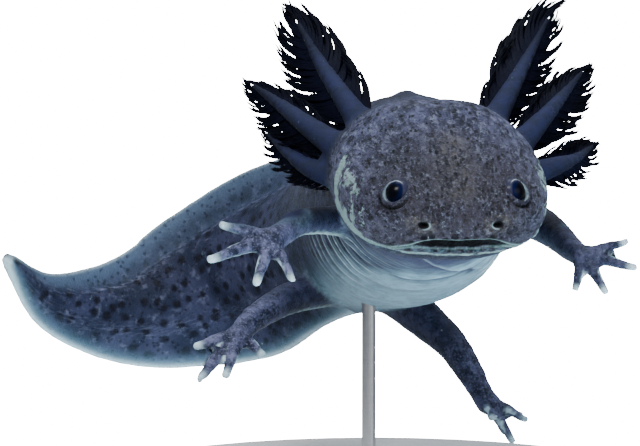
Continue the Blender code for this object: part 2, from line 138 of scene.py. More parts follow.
# ---- gills: stalk points as x, y, z, radius, and the filaments' reach on the upper and lower side
GILLS = {
    "gill_right_1": (((-1.0, -57.4, 82.6, 3.4), (-7.0, -48.6, 90.7, 2.6), (-12.0, -38.2, 97.8, 2.1),
                      (-16.5, -30.2, 105.6, 0.8)), 11.4, 10.8),
    "gill_right_2": (((-4.4, -60.0, 79.4, 3.4), (-13.6, -51.5, 85.3, 2.6), (-20.0, -41.4, 89.5, 2.0),
                      (-25.6, -33.7, 93.1, 0.8)), 6.0, 7.6),
    "gill_right_3": (((-5.2, -61.4, 75.8, 3.2), (-13.4, -54.7, 77.6, 2.4), (-18.4, -47.1, 80.3, 1.8),
                      (-22.7, -39.4, 83.8, 0.7)), 6.8, 5.6),
    "gill_left_1": (((19.6, -54.0, 82.4, 3.3), (25.2, -45.6, 91.4, 2.4), (29.8, -35.2, 98.5, 1.8),
                     (34.4, -27.1, 106.3, 0.7)), 12.0, 8.6),
    "gill_left_2": (((24.4, -55.2, 79.4, 3.3), (31.8, -47.4, 86.5, 2.3), (36.8, -37.6, 91.1, 1.7),
                     (41.2, -29.8, 95.5, 0.7)), 7.8, 8.8),
    "gill_left_3": (((25.6, -58.0, 75.6, 3.1), (34.7, -50.9, 77.9, 2.2), (39.2, -43.4, 79.0, 1.6),
                     (42.9, -35.9, 80.9, 0.6)), 6.6, 6.8),
}

# ---- how softly the parts run into each other, in millimetres
HEAD_BLEND = 5.0
FIN_BLEND = 2.5
LIMB_BLEND = 3.0
DIGIT_BLEND = 1.2
STALK_BLEND = 2.2
STALKS_BLEND = 1.5              # between one stalk and the next
STALK_SLIM = 0.50               # the bare stalk's radius at its tip, as a share of the table's
SLOPE_STEP = 0.04               # over which the skin's slope is taken
HEAD_STEP = 0.05                # over which the head's is

# ---- face, in the head's axes; places are those of the left side and are mirrored
EYE_PLACE = (11.6, 18.3, 5.3)
EYE_OUTWARD = (0.42, 0.58, 0.70)
EYE_RADIUS = 2.7
EYE_STANDS_OUT = 1.1
EYE_SHOWN = 2.15                # radius of the opening that the ball shows through
EYE_SHIFT = (-0.3, 0.0, 0.6)    # the ball sits this far from the plain model's, for the left eye
EYE_FACING = (0.62, 0.64, 0.45)  # middle of the opening
EYE_GAZE = (0.74, 0.56, 0.38)   # middle of the dark disc
EYE_DISC = 2.1                  # the disc's radius
NOSTRIL_PLACE = (7.1, 24.6, 1.1)
NOSTRIL_SQUASH = (0.75, 0.6, 1.25)  # more than 1 makes it narrower that way
LIP_HEIGHTS = (-1.95, -5.7)     # edge of the upper lip at the middle of the snout, along the cheek
LIP_TURN = (4.8, 15.0)          # distance from the midline over which it drops
MOUTH_HALF = 1.15               # half the height of the opening
CLOSED_HALF = 0.12              # where it is closed
MOUTH_CLOSED = (5.5, 10.2)      # distance from the midline over which the opening closes


# ================================================================ numbers
RIPPLE_WAVES = 6
RIPPLE_PEAK = 3.5               # about as high as their sum gets


def unit(v):
    return v / np.maximum(np.linalg.norm(v, axis=-1, keepdims=True), 1e-12)


def ease(low, high, x):
    """0 below low, 1 above high, smooth between."""
    t = np.clip((x - low) / (high - low), 0.0, 1.0)
    return t * t * (3 - 2 * t)


def hill(x, width):
    """A bell over 0."""
    return np.exp(-((x / width) ** 2))


def between(ends, share):
    """The first end where share is 0, the second where it is 1."""
    return ends[0] + (ends[1] - ends[0]) * share


def smooth_min(a, b, k):
    """The smaller of two distances, rounded where they cross over about k."""
    h = np.clip(0.5 + 0.5 * (b - a) / k, 0.0, 1.0)
    return b + (a - b) * h - k * h * (1 - h)


def smooth_rows(rows, count):
    """count samples of a Catmull-Rom curve through rows of numbers."""
    rows = np.asarray(rows, float)
    last = len(rows) - 1
    padded = np.vstack([2 * rows[0] - rows[1], rows, 2 * rows[-1] - rows[-2]])
    place = np.linspace(0, last, count)
    start = np.minimum(place.astype(int), last - 1)
    t = (place - start)[:, None]
    a, b, c, d = (padded[start + i] for i in range(4))
    square = 2 * a - 5 * b + 4 * c - d
    cube = 3 * b - a - 3 * c + d
    return 0.5 * (2 * b + (c - a) * t + square * t ** 2 + cube * t ** 3)


def ripple(points, size, seed):
    """A cheap smooth noise from -1 to 1 with features of about the given size."""
    draw = np.random.default_rng(seed)
    total = np.zeros(len(points))
    for _ in range(RIPPLE_WAVES):
        direction = unit(draw.normal(size=3)) * (2 * math.pi / size) * draw.uniform(0.6, 1.4)
        total += np.sin(points @ direction + draw.uniform(0, 2 * math.pi))
    return total / RIPPLE_PEAK


# ================================================================ the animal's shape as distances
def head_axes():
    """The head's x, y and z axes as columns."""
    turn = Matrix.Rotation(HEAD_YAW, 3, "Z") @ Matrix.Rotation(HEAD_PITCH, 3, "X")
    return np.array(turn) @ np.diag((1.0, -1.0, 1.0))


HEAD_AXES = head_axes()


def to_head(points):
    return (points - np.array(HEAD_CENTRE)) @ HEAD_AXES


def from_head(points):
    return np.array(HEAD_CENTRE) + np.asarray(points) @ HEAD_AXES.T


def head_level(q):
    """1 on the head's surface, less inside, growing with the distance from its centre."""
    x, y, z = np.abs(q[:, 0]), q[:, 1], q[:, 2]
    plan = (x / HEAD_HALF_WIDTH) ** HEAD_PLAN_POWER
    plan += (np.abs(y) / np.where(y > 0, HEAD_FRONT, HEAD_BACK)) ** HEAD_PLAN_POWER
    share = ease(*HEAD_TAPER, y)
    rise = np.abs(z) / np.where(z > 0, between(HEAD_TOP, share), between(HEAD_BOTTOM, share))
    rise = rise ** np.where(z > 0, HEAD_TOP_POWER, HEAD_BOTTOM_POWER)
    return np.sqrt(plan ** (2.0 / HEAD_PLAN_POWER) + rise)


def head_distance(points):
    q = to_head(points)
    level = head_level(q)
    slope = np.stack([head_level(q + HEAD_STEP * axis) - level for axis in np.eye(3)], -1) / HEAD_STEP
    return (level - 1) / np.maximum(np.linalg.norm(slope, axis=1), 0.015)


class Spine:
    """The body's middle line with its sizes, and where points lie along it."""

    def __init__(self):
        self.rows = smooth_rows(SPINE, SPINE_SAMPLES)
        self.centre = self.rows[:, :3]
        self.along = unit(np.gradient(self.centre, axis=0))
        self.across = unit(np.cross(self.along, UP))
        self.up = np.cross(self.across, self.along)
        steps = np.linalg.norm(np.diff(self.centre, axis=0), axis=1)
        self.length = np.concatenate([[0.0], np.cumsum(steps)])

    def nearest(self, points):
        coarse = self.centre[::COARSE]
        square = (points ** 2).sum(1)[:, None] - 2 * points @ coarse.T + (coarse ** 2).sum(1)
        first = square.argmin(1) * COARSE
        window = np.clip(first[:, None] + np.arange(-COARSE, COARSE + 1), 0, SPINE_SAMPLES - 1)
        gap = ((points[:, None, :] - self.centre[window]) ** 2).sum(2)
        return window[np.arange(len(points)), gap.argmin(1)]

    def locate(self, points):
        """Place as a station number, distance past the line's ends, offsets sideways and up, the sizes there
        and the length so far."""
        i = self.nearest(points)
        gap = points - self.centre[i]
        lead = (gap * self.along[i]).sum(1)
        spacing = self.length[-1] / (SPINE_SAMPLES - 1)
        j = np.clip(i + np.sign(lead).astype(int), 0, SPINE_SAMPLES - 1)
        reach = np.linalg.norm(self.centre[j] - self.centre[i], axis=1)
        share = np.where(i == j, 0.0, np.clip(np.abs(lead) / np.maximum(reach, 1e-6), 0, 1))[:, None]
        mix = [array[i] * (1 - share) + array[j] * share
               for array in (self.rows, self.along, self.across, self.up)]
        gap = points - mix[0][:, :3]
        place = (i + (j - i) * share[:, 0]) * (len(SPINE) - 1) / (SPINE_SAMPLES - 1)
        run = self.length[i] * (1 - share[:, 0]) + self.length[j] * share[:, 0]
        beyond = np.maximum(np.abs((gap * mix[1]).sum(1)) - spacing, 0.0)
        return place, beyond, (gap * mix[2]).sum(1), (gap * mix[3]).sum(1), mix[0][:, 3:], run


SPINE_LINE = Spine()


def flesh_and_fin(height, sizes):
    """How far the flesh and the fin reach, up or down, on the side that each point lies on."""
    above = height > 0
    return np.where(above, sizes[:, 1], sizes[:, 2]), np.where(above, sizes[:, 3], sizes[:, 4])


def capped(distance, beyond):
    """Rounds off a cross-section's distance past the ends of the line."""
    rounded = np.hypot(np.maximum(distance, 0.0), beyond) + np.minimum(distance, 0.0)
    return np.where(beyond > 0, rounded, distance)


def body_distance(points, located=None):
    _, beyond, side, height, sizes, _ = located or SPINE_LINE.locate(points)
    half = sizes[:, 0]
    tall, reach = flesh_and_fin(height, sizes)
    level = (np.abs(side / half) ** BODY_POWER + np.abs(height / tall) ** BODY_POWER) ** (1 / BODY_POWER)
    slope = np.hypot(side / half ** 2, height / tall ** 2)
    flesh = np.where(level < 0.01, -np.minimum(half, tall), level * (level - 1) / np.maximum(slope, 1e-6))
    root = np.minimum(FIN_ROOT_HALF, half * 0.8)
    edge = np.minimum(FIN_EDGE_HALF, half * 0.6)
    share = np.clip((np.abs(height) - tall) / np.maximum(reach - tall, 0.1), 0, 1)
    thick = between((root, edge), share)
    over = np.abs(height) - (reach - thick)
    fin = np.where(over > 0, np.hypot(side, over) - thick, np.abs(side) - thick)
    fin = fin + 3.0 * np.maximum(tall + 0.6 - reach, 0.0)
    return smooth_min(capped(flesh, beyond), capped(fin, beyond), FIN_BLEND)


def from_segment(points, a, b):
    """Distance to the straight piece from a to b, and how far along it the nearest place lies."""
    run = b - a
    t = np.clip((points - a) @ run / (run @ run), 0, 1)
    return np.linalg.norm(points - a - t[:, None] * run, axis=1), t


def tube_distance(points, rows, margin=7.0):
    """Distance to a round tube along rows of x, y, z, radius. FAR where it is well out of reach."""
    rows = np.asarray(rows, float)
    centre, radius = rows[:, :3], rows[:, 3]
    found = np.full(len(points), FAR)
    low = centre.min(0) - radius.max() - margin
    high = centre.max(0) + radius.max() + margin
    near = np.flatnonzero(((points > low) & (points < high)).all(1))
    if not len(near):
        return found
    q = points[near]
    best = np.full(len(q), FAR)
    for a, b, *radii in zip(centre[:-1], centre[1:], radius[:-1], radius[1:]):
        reach, t = from_segment(q, a, b)
        best = np.minimum(best, reach - between(radii, t))
    found[near] = best
    return found


LIMB_SAMPLES = 18
DIGIT_SAMPLES = 8
STALK_ROWS = 17


def limb_rows(limb):
    return smooth_rows(list(limb["joints"]) + [limb["palm"]], LIMB_SAMPLES)


def digit_rows(limb, digit):
    """Slightly bowed, with a full pad near the tip."""
    palm = np.array(limb["palm"][:3])
    tip = np.array(digit[:3])
    middle = (palm + tip) / 2 + UP * 0.35
    root, end = digit[3:]
    pad = palm * 0.15 + tip * 0.85
    return smooth_rows([(*palm, root), (*middle, (root + end) / 2), (*pad, end * 0.98), (*tip, end * 0.84)],
                       DIGIT_SAMPLES)


def stalk_rows(name):
    """The stalk under its filaments, slimmer towards the tip than stalk and filaments together."""
    rows = smooth_rows(GILLS[name][0], STALK_ROWS)
    rows[:, 3] *= np.linspace(1.0, STALK_SLIM, len(rows))
    return rows


def parts_distances(points, located=None):
    """Distances to the head, the body, the limbs and the gill stalks."""
    head = head_distance(points)
    body = body_distance(points, located)
    limbs = np.full(len(points), FAR)
    for limb in LIMBS.values():
        whole = tube_distance(points, limb_rows(limb))
        for digit in limb["digits"]:
            whole = smooth_min(whole, tube_distance(points, digit_rows(limb, digit)), DIGIT_BLEND)
        limbs = np.minimum(limbs, whole)
    stalks = np.full(len(points), FAR)
    for name in GILLS:
        stalks = smooth_min(stalks, tube_distance(points, stalk_rows(name)), STALKS_BLEND)
    return head, body, limbs, stalks


def skin_distance(points):
    head, body, limbs, stalks = parts_distances(points)
    joined = smooth_min(head, body, HEAD_BLEND)
    joined = smooth_min(joined, limbs, LIMB_BLEND)
    return smooth_min(joined, stalks, STALK_BLEND)


def skin_slope(points):
    here = skin_distance(points)
    there = [skin_distance(points + SLOPE_STEP * axis) for axis in np.eye(3)]
    return here, np.stack([distance - here for distance in there], -1) / SLOPE_STEP


# ================================================================ mesh helpers
def link(name, data):
    made = bpy.data.objects.new(name, data)
    bpy.context.scene.collection.objects.link(made)
    return made


def mesh_of(shape, name):
    """The mesh of a bmesh. The bmesh goes."""
    mesh = bpy.data.meshes.new(name)
    shape.to_mesh(mesh)
    shape.free()
    return mesh


def evaluated_mesh(item):
    """The mesh that an object's modifiers, or its curve, give. The object goes."""
    bpy.context.view_layer.update()
    mesh = bpy.data.meshes.new_from_object(item.evaluated_get(bpy.context.evaluated_depsgraph_get()))
    bpy.data.objects.remove(item, do_unlink=True)
    return mesh


def numbers(items, name, width=1, kind=np.float32):
    """A property of all items as an array, with a column for each of width numbers."""
    flat = np.empty(len(items) * width, kind)
    items.foreach_get(name, flat)
    return flat.reshape(-1, width) if width > 1 else flat


def positions(mesh):
    return numbers(mesh.vertices, "co", 3).astype(float)


def place_vertices(mesh, points):
    mesh.vertices.foreach_set("co", points.astype(np.float32).ravel())
    mesh.update()


def store(mesh, name, values):
    """Keeps a number or a vector for every vertex."""
    kind, field = ("FLOAT_VECTOR", "vector") if values.ndim > 1 else ("FLOAT", "value")
    mesh.attributes.new(name, kind, "POINT").data.foreach_set(field, values.astype(np.float32).ravel())


# ================================================================ rough body for the skin
RINGS_APART = 5                 # spine samples between the loft's rings
THINNEST_SHARE = 1.05           # of the voxels' size, so that nothing falls between them
FIN_FOOT = 1.4                  # half width of the loft where a fin starts
TUBE_CAP = ((0.6, 0.8), (0.95, 0.4))  # how far past the tip, in radii, and how wide, as a share
LEVEL_ROUNDS = 12               # that bring the rough head onto the head's surface
RING_CORNERS = 11               # on each side of the flesh


def rough_head(shape):
    """A sphere drawn out to the head."""
    made = bmesh.ops.create_uvsphere(shape, u_segments=48, v_segments=28, radius=1.0)
    directions = np.array([vertex.co.normalized() for vertex in made["verts"]])
    points = directions / head_level(directions)[:, None]
    for _ in range(LEVEL_ROUNDS):
        points = points / head_level(points)[:, None]
    for vertex, point in zip(made["verts"], from_head(points)):
        vertex.co = point


def rough_body(shape, thinnest):
    """A loft along the spine, whose fins are no thinner than the voxels can hold."""
    rings = []
    foot = max(thinnest, FIN_FOOT)
    angles = np.radians(np.linspace(-80, 80, RING_CORNERS))
    for i in range(0, SPINE_SAMPLES, RINGS_APART):
        half, top, bottom, fin_top, fin_bottom = SPINE_LINE.rows[i, 3:]
        half = max(half, thinnest)
        curve = [(half * math.cos(a) ** (2 / BODY_POWER),
                  (top if a > 0 else bottom) * math.copysign(abs(math.sin(a)) ** (2 / BODY_POWER), a))
                 for a in angles]
        outline = [(thinnest, -max(fin_bottom, bottom)), (foot, -bottom * 0.98), *curve,
                   (foot, top * 0.98), (thinnest, max(fin_top, top))]
        outline += [(-x, z) for x, z in reversed(outline)]
        centre, across, up = SPINE_LINE.centre[i], SPINE_LINE.across[i], SPINE_LINE.up[i]
        rings.append([shape.verts.new(centre + across * x + up * z) for x, z in outline])
    count = len(rings[0])
    for one, two in zip(rings, rings[1:]):
        for i in range(count):
            k = (i + 1) % count
            shape.faces.new((one[i], one[k], two[k], two[i]))
    shape.faces.new(reversed(rings[0]))
    shape.faces.new(rings[-1])


def rough_tubes(name, all_rows, thinnest):
    """One curve object with a spline for each tube, made a mesh in millimetres."""
    curve = bpy.data.curves.new(name, "CURVE")
    curve.dimensions = "3D"
    curve.bevel_depth = 1.0
    curve.bevel_resolution = 2
    curve.use_fill_caps = True
    for rows in all_rows:
        spline = curve.splines.new("POLY")
        spline.points.add(len(rows) - 1)
        for point, (x, y, z, radius) in zip(spline.points, rows):
            point.co = (x, y, z, 1.0)
            point.radius = max(radius, thinnest)
    return evaluated_mesh(link(name, curve))


def rounded_rows(rows):
    """Adds a short cap past the last row, so that the tube ends in a dome."""
    tip, along = rows[-1], unit(rows[-1, :3] - rows[-2, :3])
    cap = [(*(tip[:3] + along * tip[3] * reach), tip[3] * share) for reach, share in TUBE_CAP]
    return np.vstack([rows, cap])


def rough_mesh(grain):
    """All the parts as overlapping closed shapes, remeshed into one."""
    thinnest = grain * THINNEST_SHARE
    shape = bmesh.new()
    rough_head(shape)
    rough_body(shape, thinnest)
    tubes = [stalk_rows(name) for name in GILLS]
    for limb in LIMBS.values():
        tubes.append(limb_rows(limb))
        tubes += [digit_rows(limb, digit) for digit in limb["digits"]]
    branches = rough_tubes("branches", [rounded_rows(rows) for rows in tubes], thinnest)
    shape.from_mesh(branches)
    bmesh.ops.remove_doubles(shape, verts=shape.verts, dist=1e-4)
    bmesh.ops.recalc_face_normals(shape, faces=shape.faces)
    item = link("rough", mesh_of(shape, "rough"))
    remesh = item.modifiers.new("Remesh", "REMESH")
    remesh.mode = "VOXEL"
    remesh.voxel_size = grain
    remesh.adaptivity = 0.0
    return evaluated_mesh(item)


# ================================================================ settling the skin on the animal's shape
LONGEST_MOVE = 1.2              # of one settling step
FIN_EDGE_BAND = 1.8             # how deep inside a fin's edge points are lifted to it
REFINEMENTS = 3
FINER_EDGE = (1.6, 0.9)         # width of the fins' finer border, in the first and second refinement
FINER_HAND = 14.0               # radius round a palm, in the first
FINER_THROAT = (0.3, 2.6)       # from and to along the spine, in the first
FINER_MOUTH = (1.6, 0.5)        # distance from the mouth's edges, in the second and third
FINER_EYE = (4.6, 3.6, 1.8)     # distance from the eye's axis, in the second; largest and least in the third
FINER_NOSTRIL = (2.2, 1.3)      # distance from the nostril, in the second and third


def settle(points, rounds):
    """Newton steps onto the surface where skin_distance is zero. Returns points and outward directions."""
    for _ in range(rounds):
        here, slope = skin_slope(points)
        size = np.maximum((slope ** 2).sum(1), 0.04)
        move = np.clip(here, -LONGEST_MOVE, LONGEST_MOVE) / size
        points = points - move[:, None] * slope
    return points, unit(skin_slope(points)[1])


def onto_fin_edge(points):
    """Lifts the points that a cut through a thin fin left inside it out to the fin's edge."""
    place, beyond, side, height, sizes, _ = SPINE_LINE.locate(points)
    flesh, reach = flesh_and_fin(height, sizes)
    short = reach - np.abs(height)
    thin = np.minimum(FIN_EDGE_HALF, sizes[:, 0] * 0.6)
    inside = ((np.abs(side) < 0.7 * thin) & (short > 0) & (short < FIN_EDGE_BAND)
              & (reach - flesh > 1.0) & (beyond < 0.3))
    i = np.round(place / (len(SPINE) - 1) * (SPINE_SAMPLES - 1)).astype(int)
    return points + np.where(inside, short * np.sign(height), 0.0)[:, None] * SPINE_LINE.up[i]


def relax(points, outward, pairs, share=0.5):
    """Moves each vertex towards its neighbours' middle, along the surface only."""
    one, two = pairs.T
    total = np.stack([np.bincount(one, points[two, axis], len(points))
                      + np.bincount(two, points[one, axis], len(points)) for axis in range(3)], 1)
    count = np.bincount(pairs.ravel(), minlength=len(points))
    shift = total / np.maximum(count, 1)[:, None] - points
    shift -= (shift * outward).sum(1)[:, None] * outward
    return points + shift * share


def refine(mesh, wanted):
    """Splits the faces whose corners are all wanted into four; the faces beside them take the new corners."""
    shape = bmesh.new()
    shape.from_mesh(mesh)
    shape.verts.ensure_lookup_table()
    edges = [edge for edge in shape.edges if all(wanted[vertex.index] for vertex in edge.verts)]
    bmesh.ops.subdivide_edges(shape, edges=edges, cuts=1, use_grid_fill=True)
    shape.to_mesh(mesh)
    shape.free()


def mirrored(place, x):
    """A place of the left side, on whichever side x is on."""
    places = np.tile(np.array(place, float), (len(x), 1))
    places[:, 0] *= np.where(x < 0, -1.0, 1.0)
    return places


def line_distance(points, line):
    """Distance to a chain of straight pieces."""
    line = np.array(line, float)
    return np.min([from_segment(points, a, b)[0] for a, b in zip(line[:-1], line[1:])], axis=0)


def eye_centre():
    """The left ball's centre in the head's axes."""
    return np.array(EYE_PLACE) - unit(np.array(EYE_OUTWARD)) * (EYE_RADIUS - EYE_STANDS_OUT) + EYE_SHIFT


def eye_offsets(q):
    """Height along the eye's own axis, distance from it, and how far a point lies towards its lower side."""
    centre = mirrored(eye_centre(), q[:, 0])
    outward = unit(mirrored(EYE_FACING, q[:, 0]))
    gap = q - centre
    height = (gap * outward).sum(1)
    flat = gap - height[:, None] * outward
    radius = np.linalg.norm(flat, axis=1)
    lower = -flat[:, 2] / np.maximum(radius, 1e-6)
    return height, radius, lower


def eye_aside(q):
    """How far a point lies towards the outer and upper side of its eye."""
    gap = q - mirrored(eye_centre(), q[:, 0])
    return ease(-0.35, 0.45, 0.8 * np.sign(q[:, 0]) * gap[:, 0] - 0.3 * gap[:, 1] + 0.35 * gap[:, 2])


def mouth_gap(q):
    """Height over the middle of the mouth's opening, half the opening's height, and how open it is."""
    x = np.abs(q[:, 0])
    opened = 1 - ease(*MOUTH_CLOSED, x)
    half = between((CLOSED_HALF, MOUTH_HALF), opened)
    return q[:, 2] - (between(LIP_HEIGHTS, ease(*LIP_TURN, x)) - half), half, opened


def nostril_radius(q):
    return np.linalg.norm((q - mirrored(NOSTRIL_PLACE, q[:, 0])) * NOSTRIL_SQUASH, axis=1)


def worth_refining(points, level):
    """Where the skin needs finer faces, for each round of refinement."""
    q = to_head(points)
    head, body, _, stalks = parts_distances(points)
    on_head = head < np.minimum(body, stalks) + 0.5
    _, eye, _ = eye_offsets(q)
    gap, half, _ = mouth_gap(q)
    gap = np.abs(gap) - half
    pit = nostril_radius(q)
    forward = on_head & (q[:, 1] > 4)
    if level == REFINEMENTS:
        lid = (eye > FINER_EYE[2]) & (eye < FINER_EYE[1])
        return forward & ((np.abs(gap) < FINER_MOUTH[1]) | lid | (pit < FINER_NOSTRIL[1]))
    place, _, _, height, sizes, _ = SPINE_LINE.locate(points)
    edge = flesh_and_fin(height, sizes)[1] - np.abs(height)
    fin_edge = (body < 0.5) & (edge < FINER_EDGE[level - 1]) & (place > 0.5)
    if level == 2:
        return forward & ((gap < FINER_MOUTH[0]) | (eye < FINER_EYE[0]) | (pit < FINER_NOSTRIL[0])) | fin_edge
    throat = (place > FINER_THROAT[0]) & (place < FINER_THROAT[1]) & (body < 1)
    throat &= height < sizes[:, 1] * 0.55
    palms = np.array([limb["palm"][:3] for limb in LIMBS.values()])
    hand = np.linalg.norm(points[:, None] - palms, axis=2).min(1) < FINER_HAND
    return (on_head & (q[:, 1] > -6)) | throat | hand | fin_edge


# ================================================================ folds, mouth, nostrils and eye rims
JAW_LINE = (                    # from behind the corner of the jaw to the chin
    (19.8, 1.0, 4.6), (20.4, 1.6, 1.2), (20.4, 3.2, -2.2), (20.0, 6.0, -2.9), (19.4, 9.0, -3.3),
    (18.6, 10.9, -4.0), (17.6, 12.4, -4.9), (16.4, 14.2, -5.5), (15.3, 15.9, -5.8), (14.0, 17.4, -6.0),
    (12.4, 18.6, -6.1), (10.3, 19.6, -6.3), (7.7, 20.9, -6.0), (5.0, 21.9, -5.8), (0.0, 22.5, -5.8),
)
JAW_BEND = 2                    # the line's first points that run down to the corner
CHEEK_PATCHES = (               # place, half sizes
    ((19.0, 7.5, 4.2), (2.0, 5.2, 2.2)),
    ((18.4, 12.0, -1.4), (1.7, 1.7, 3.0)),
    ((16.8, 14.7, -0.8), (1.4, 1.4, 2.6)),
)

# ---- ridges and grooves of the face: height, distance of the crest, width
UPPER_LIP = (0.28, 0.5, 0.5)
LOWER_LIP = (0.10, -0.45, 0.42)
LIP_GROOVE = (-0.2, -2.0, 0.5)
CHIN_FOLD = (-0.5, -7.6, 0.7)
LID = (0.26, EYE_SHOWN + 0.36, 0.28)
LID_BELOW = (0.08, EYE_SHOWN + 0.36, 0.28)
EYE_SWELL = (0.45, 0.0, 6.0)
EYE_BAG = (0.30, 4.5, 0.7)
EYE_CREASE = (-0.80, 3.35, 0.34)
NOSTRIL_SWELL = (0.30, 0.0, 2.2)
NOSTRIL_RIM = (0.16, 1.1, 0.3)
CROWN_BULGE = (0.55, 8.5, 4.5)
CROWN_GROOVE = (-0.35, 0.0, 2.0)
MOUTH_DEPTH = (0.45, 1.2)       # of the slit where it is closed, where it is open
CHIN_SINK = 0.40                # under the open mouth
SOCKET_DEPTH = 1.7
NOSTRIL_DEPTH = 1.25
NOSTRIL_HOLE = 0.66             # its radius
HEAD_UNEVEN = 0.10

# ---- folds of the body and the roughness of the limbs
FOLD_SPACING = 4.6              # between the rings of the flank, along the spine
RING_HEIGHT = 0.45
THROAT_FOLDS = (                # place along the spine, slope across, from and to across, depth
    (17.0, 1.7, -6.0, 12.0, 1.0),
    (31.5, -0.1, -6.0, 11.0, 1.0),
    (24.0, 0.5, 3.0, 12.0, 0.7),
    (43.0, -0.3, -9.0, 2.0, 0.35),
)
THROAT_LIP = 0.3                # height of a throat fold's lip, which the finish also lights with a painted highlight
THROAT_CREASE = 0.25            # depth of its crease, which the finish also darkens with painted shade
BODY_UNEVEN = 0.05
LIMB_UNEVEN = 0.07
HAND_LIGHT = {"left_front": 0.3, "left_hind": 0.8}  # how far a hand pales towards its digits
AWAY = 9.0                      # stored where a mark's feature is out of reach

# ---- how far apart two parts' distances are where one part's finish has turned into the other's
STALK_BORDER = (-1.6, 1.2)
LIMB_BORDER = (-1.2, 1.2)
HEAD_BORDER = (-2.0, 2.0)


def ridge(distance, shape):
    height, crest, width = shape
    return height * hill(distance - crest, width)


def face_relief(q, on_head):
    """Raised and sunk detail of the head, with the marks that go with it."""
    x, y, z = np.abs(q[:, 0]), q[:, 1], q[:, 2]
    folded = np.column_stack([x, y, z])
    gap, half, opened = mouth_gap(q)
    forward = ease(5.0, 11.0, y) * on_head
    slit = 1 / (1 + (gap / (half + 0.12)) ** 6)
    chin = ease(0.3, -0.3, gap + half) * (1 - ease(-2.5, -5.0, gap))
    relief = forward * (ridge(gap - half, UPPER_LIP) + ridge(gap + half, LOWER_LIP)
                        + ridge(gap + half, LIP_GROOVE) * ease(3.0, 7.0, x) + ridge(z, CHIN_FOLD)
                        - slit * between(MOUTH_DEPTH, opened) - chin * opened * CHIN_SINK)

    height, eye, lower = eye_offsets(q)
    facing = (height > 0) * on_head
    relief += facing * (ridge(eye, EYE_SWELL) + ridge(eye, LID) + ridge(eye, LID_BELOW) * lower
                        + ridge(eye, EYE_BAG) * ease(0.1, 0.8, lower)
                        + ridge(eye, EYE_CREASE) * (0.075 + ease(0.0, 0.7, lower))
                        - SOCKET_DEPTH * (1 - ease(EYE_SHOWN - 0.25, EYE_SHOWN + 0.2, eye)))

    pit = nostril_radius(q)
    relief += forward * (ridge(pit, NOSTRIL_SWELL) + ridge(pit, NOSTRIL_RIM)
                         - NOSTRIL_DEPTH / (1 + (pit / NOSTRIL_HOLE) ** 4))
    crown = on_head * ease(4.0, 9.0, z)
    relief += crown * (ridge(x, CROWN_BULGE) * hill(y + 4.0, 11.0)
                       + ridge(x, CROWN_GROOVE) * ease(8.0, 0.0, y))
    relief += on_head * ease(2.6, 4.4, eye) * ease(1.3, 2.4, pit) * HEAD_UNEVEN * ripple(q, 2.6, 9)

    line = np.array(JAW_LINE[JAW_BEND:])
    below = ease(0.3, -0.3, z - np.interp(y, line[:, 1], line[:, 2]))
    jaw_width = 0.75 + 1.5 * ease(-4.8, 0.5, z) + 1.6 * below * ease(16.5, 13.0, y)
    patches = [hill(np.linalg.norm((folded - place) / size, axis=1), 1.2) for place, size in CHEEK_PATCHES]
    return relief, {
        "face": forward,
        "jaw": on_head * hill(line_distance(folded, JAW_LINE), jaw_width),
        # painted shade: a dark line under the chin
        "chin_shade": forward * hill(z + 7.4, 0.6),
        "warm": on_head * ease(-3.0, 19.0, y) * (1 - 0.6 * ease(8.0, 20.0, x)),
        "muzzle": forward * ease(13.0, 9.0, x) * ease(-5.6, -5.0, z) * ease(0.5, -1.5, z),
        "cream": on_head * hill(x - 0.6, 3.0) * ease(3.0, 9.0, y) * ease(24.5, 20.0, y) * ease(2.0, 4.0, z),
        "cheek": on_head * np.max(patches, axis=0),
        "opened": opened,
        "mouth_gap": gap,
        "mouth_half": half,
        "eye_radius": np.where(facing > 0, eye, AWAY),
        "eye_below": lower,
        "eye_aside": eye_aside(q),
        "nostril": np.where(forward > 0, pit, AWAY),
        # painted highlight on the lower inner side of each nostril's rim
        "nostril_highlight": ease(-0.15, -0.75, (x - NOSTRIL_PLACE[0]) * 0.75 + (z - NOSTRIL_PLACE[2]) * 0.65),
    }


def body_relief(points, located, on_body):
    """Ring folds of the flanks and creases of the throat, with the marks that go with them."""
    place, _, side, height, sizes, run = located
    wander = 1.1 * ripple(points, 14.0, 3) + 0.35 * ripple(points, 5.0, 4)
    wide = ease(0.9, 1.6, place)
    phase = (run + 0.15 * height * wide + wander) / FOLD_SPACING
    near = np.abs(phase - np.round(phase)) * FOLD_SPACING
    flank = ease(0.25, 0.70, np.abs(side) / sizes[:, 0]) * ease(-1.02, -0.70, height / sizes[:, 2])
    rings = on_body * (1 - ease(-0.38, -0.12, height / sizes[:, 1])) * (flank * wide + 0.25 * (1 - wide))
    rings = rings * ease(0.25, 0.6, place) * (1 - ease(2.3, 3.5, place))
    rings = rings * (0.6 + 0.4 * ease(-0.6, 0.6, ripple(points, 8.0, 5)))
    relief = RING_HEIGHT * rings * (hill(near - 0.5 * FOLD_SPACING, 0.7) - hill(near, 1.1))

    creases = np.zeros(len(points))
    lips = np.zeros(len(points))
    under = on_body * ease(-0.45, -0.75, height / sizes[:, 2])
    for start, slope, first, last, depth in THROAT_FOLDS:
        gap = run - slope * side - start + 1.3 * ripple(points, 9.0, 7)
        reach = under * ease(first - 3, first + 1, side) * ease(last + 2, last - 3, side) * depth
        creases = np.maximum(creases, reach * np.where(gap > 0, hill(gap, 3.4), hill(gap, 0.8)))
        lips = np.maximum(lips, reach * hill(gap + 1.5, 0.6))
    relief += THROAT_LIP * lips - THROAT_CREASE * creases
    relief += on_body * BODY_UNEVEN * ripple(points, 3.2, 6) * ease(0.6, 1.2, place)
    # The creases also become painted shade in the finish, and the lips a painted highlight.
    return relief, {"folded": rings, "fold_run": phase * FOLD_SPACING, "run": run, "level": height,
                    "creases": creases, "crease_lip_highlights": lips}


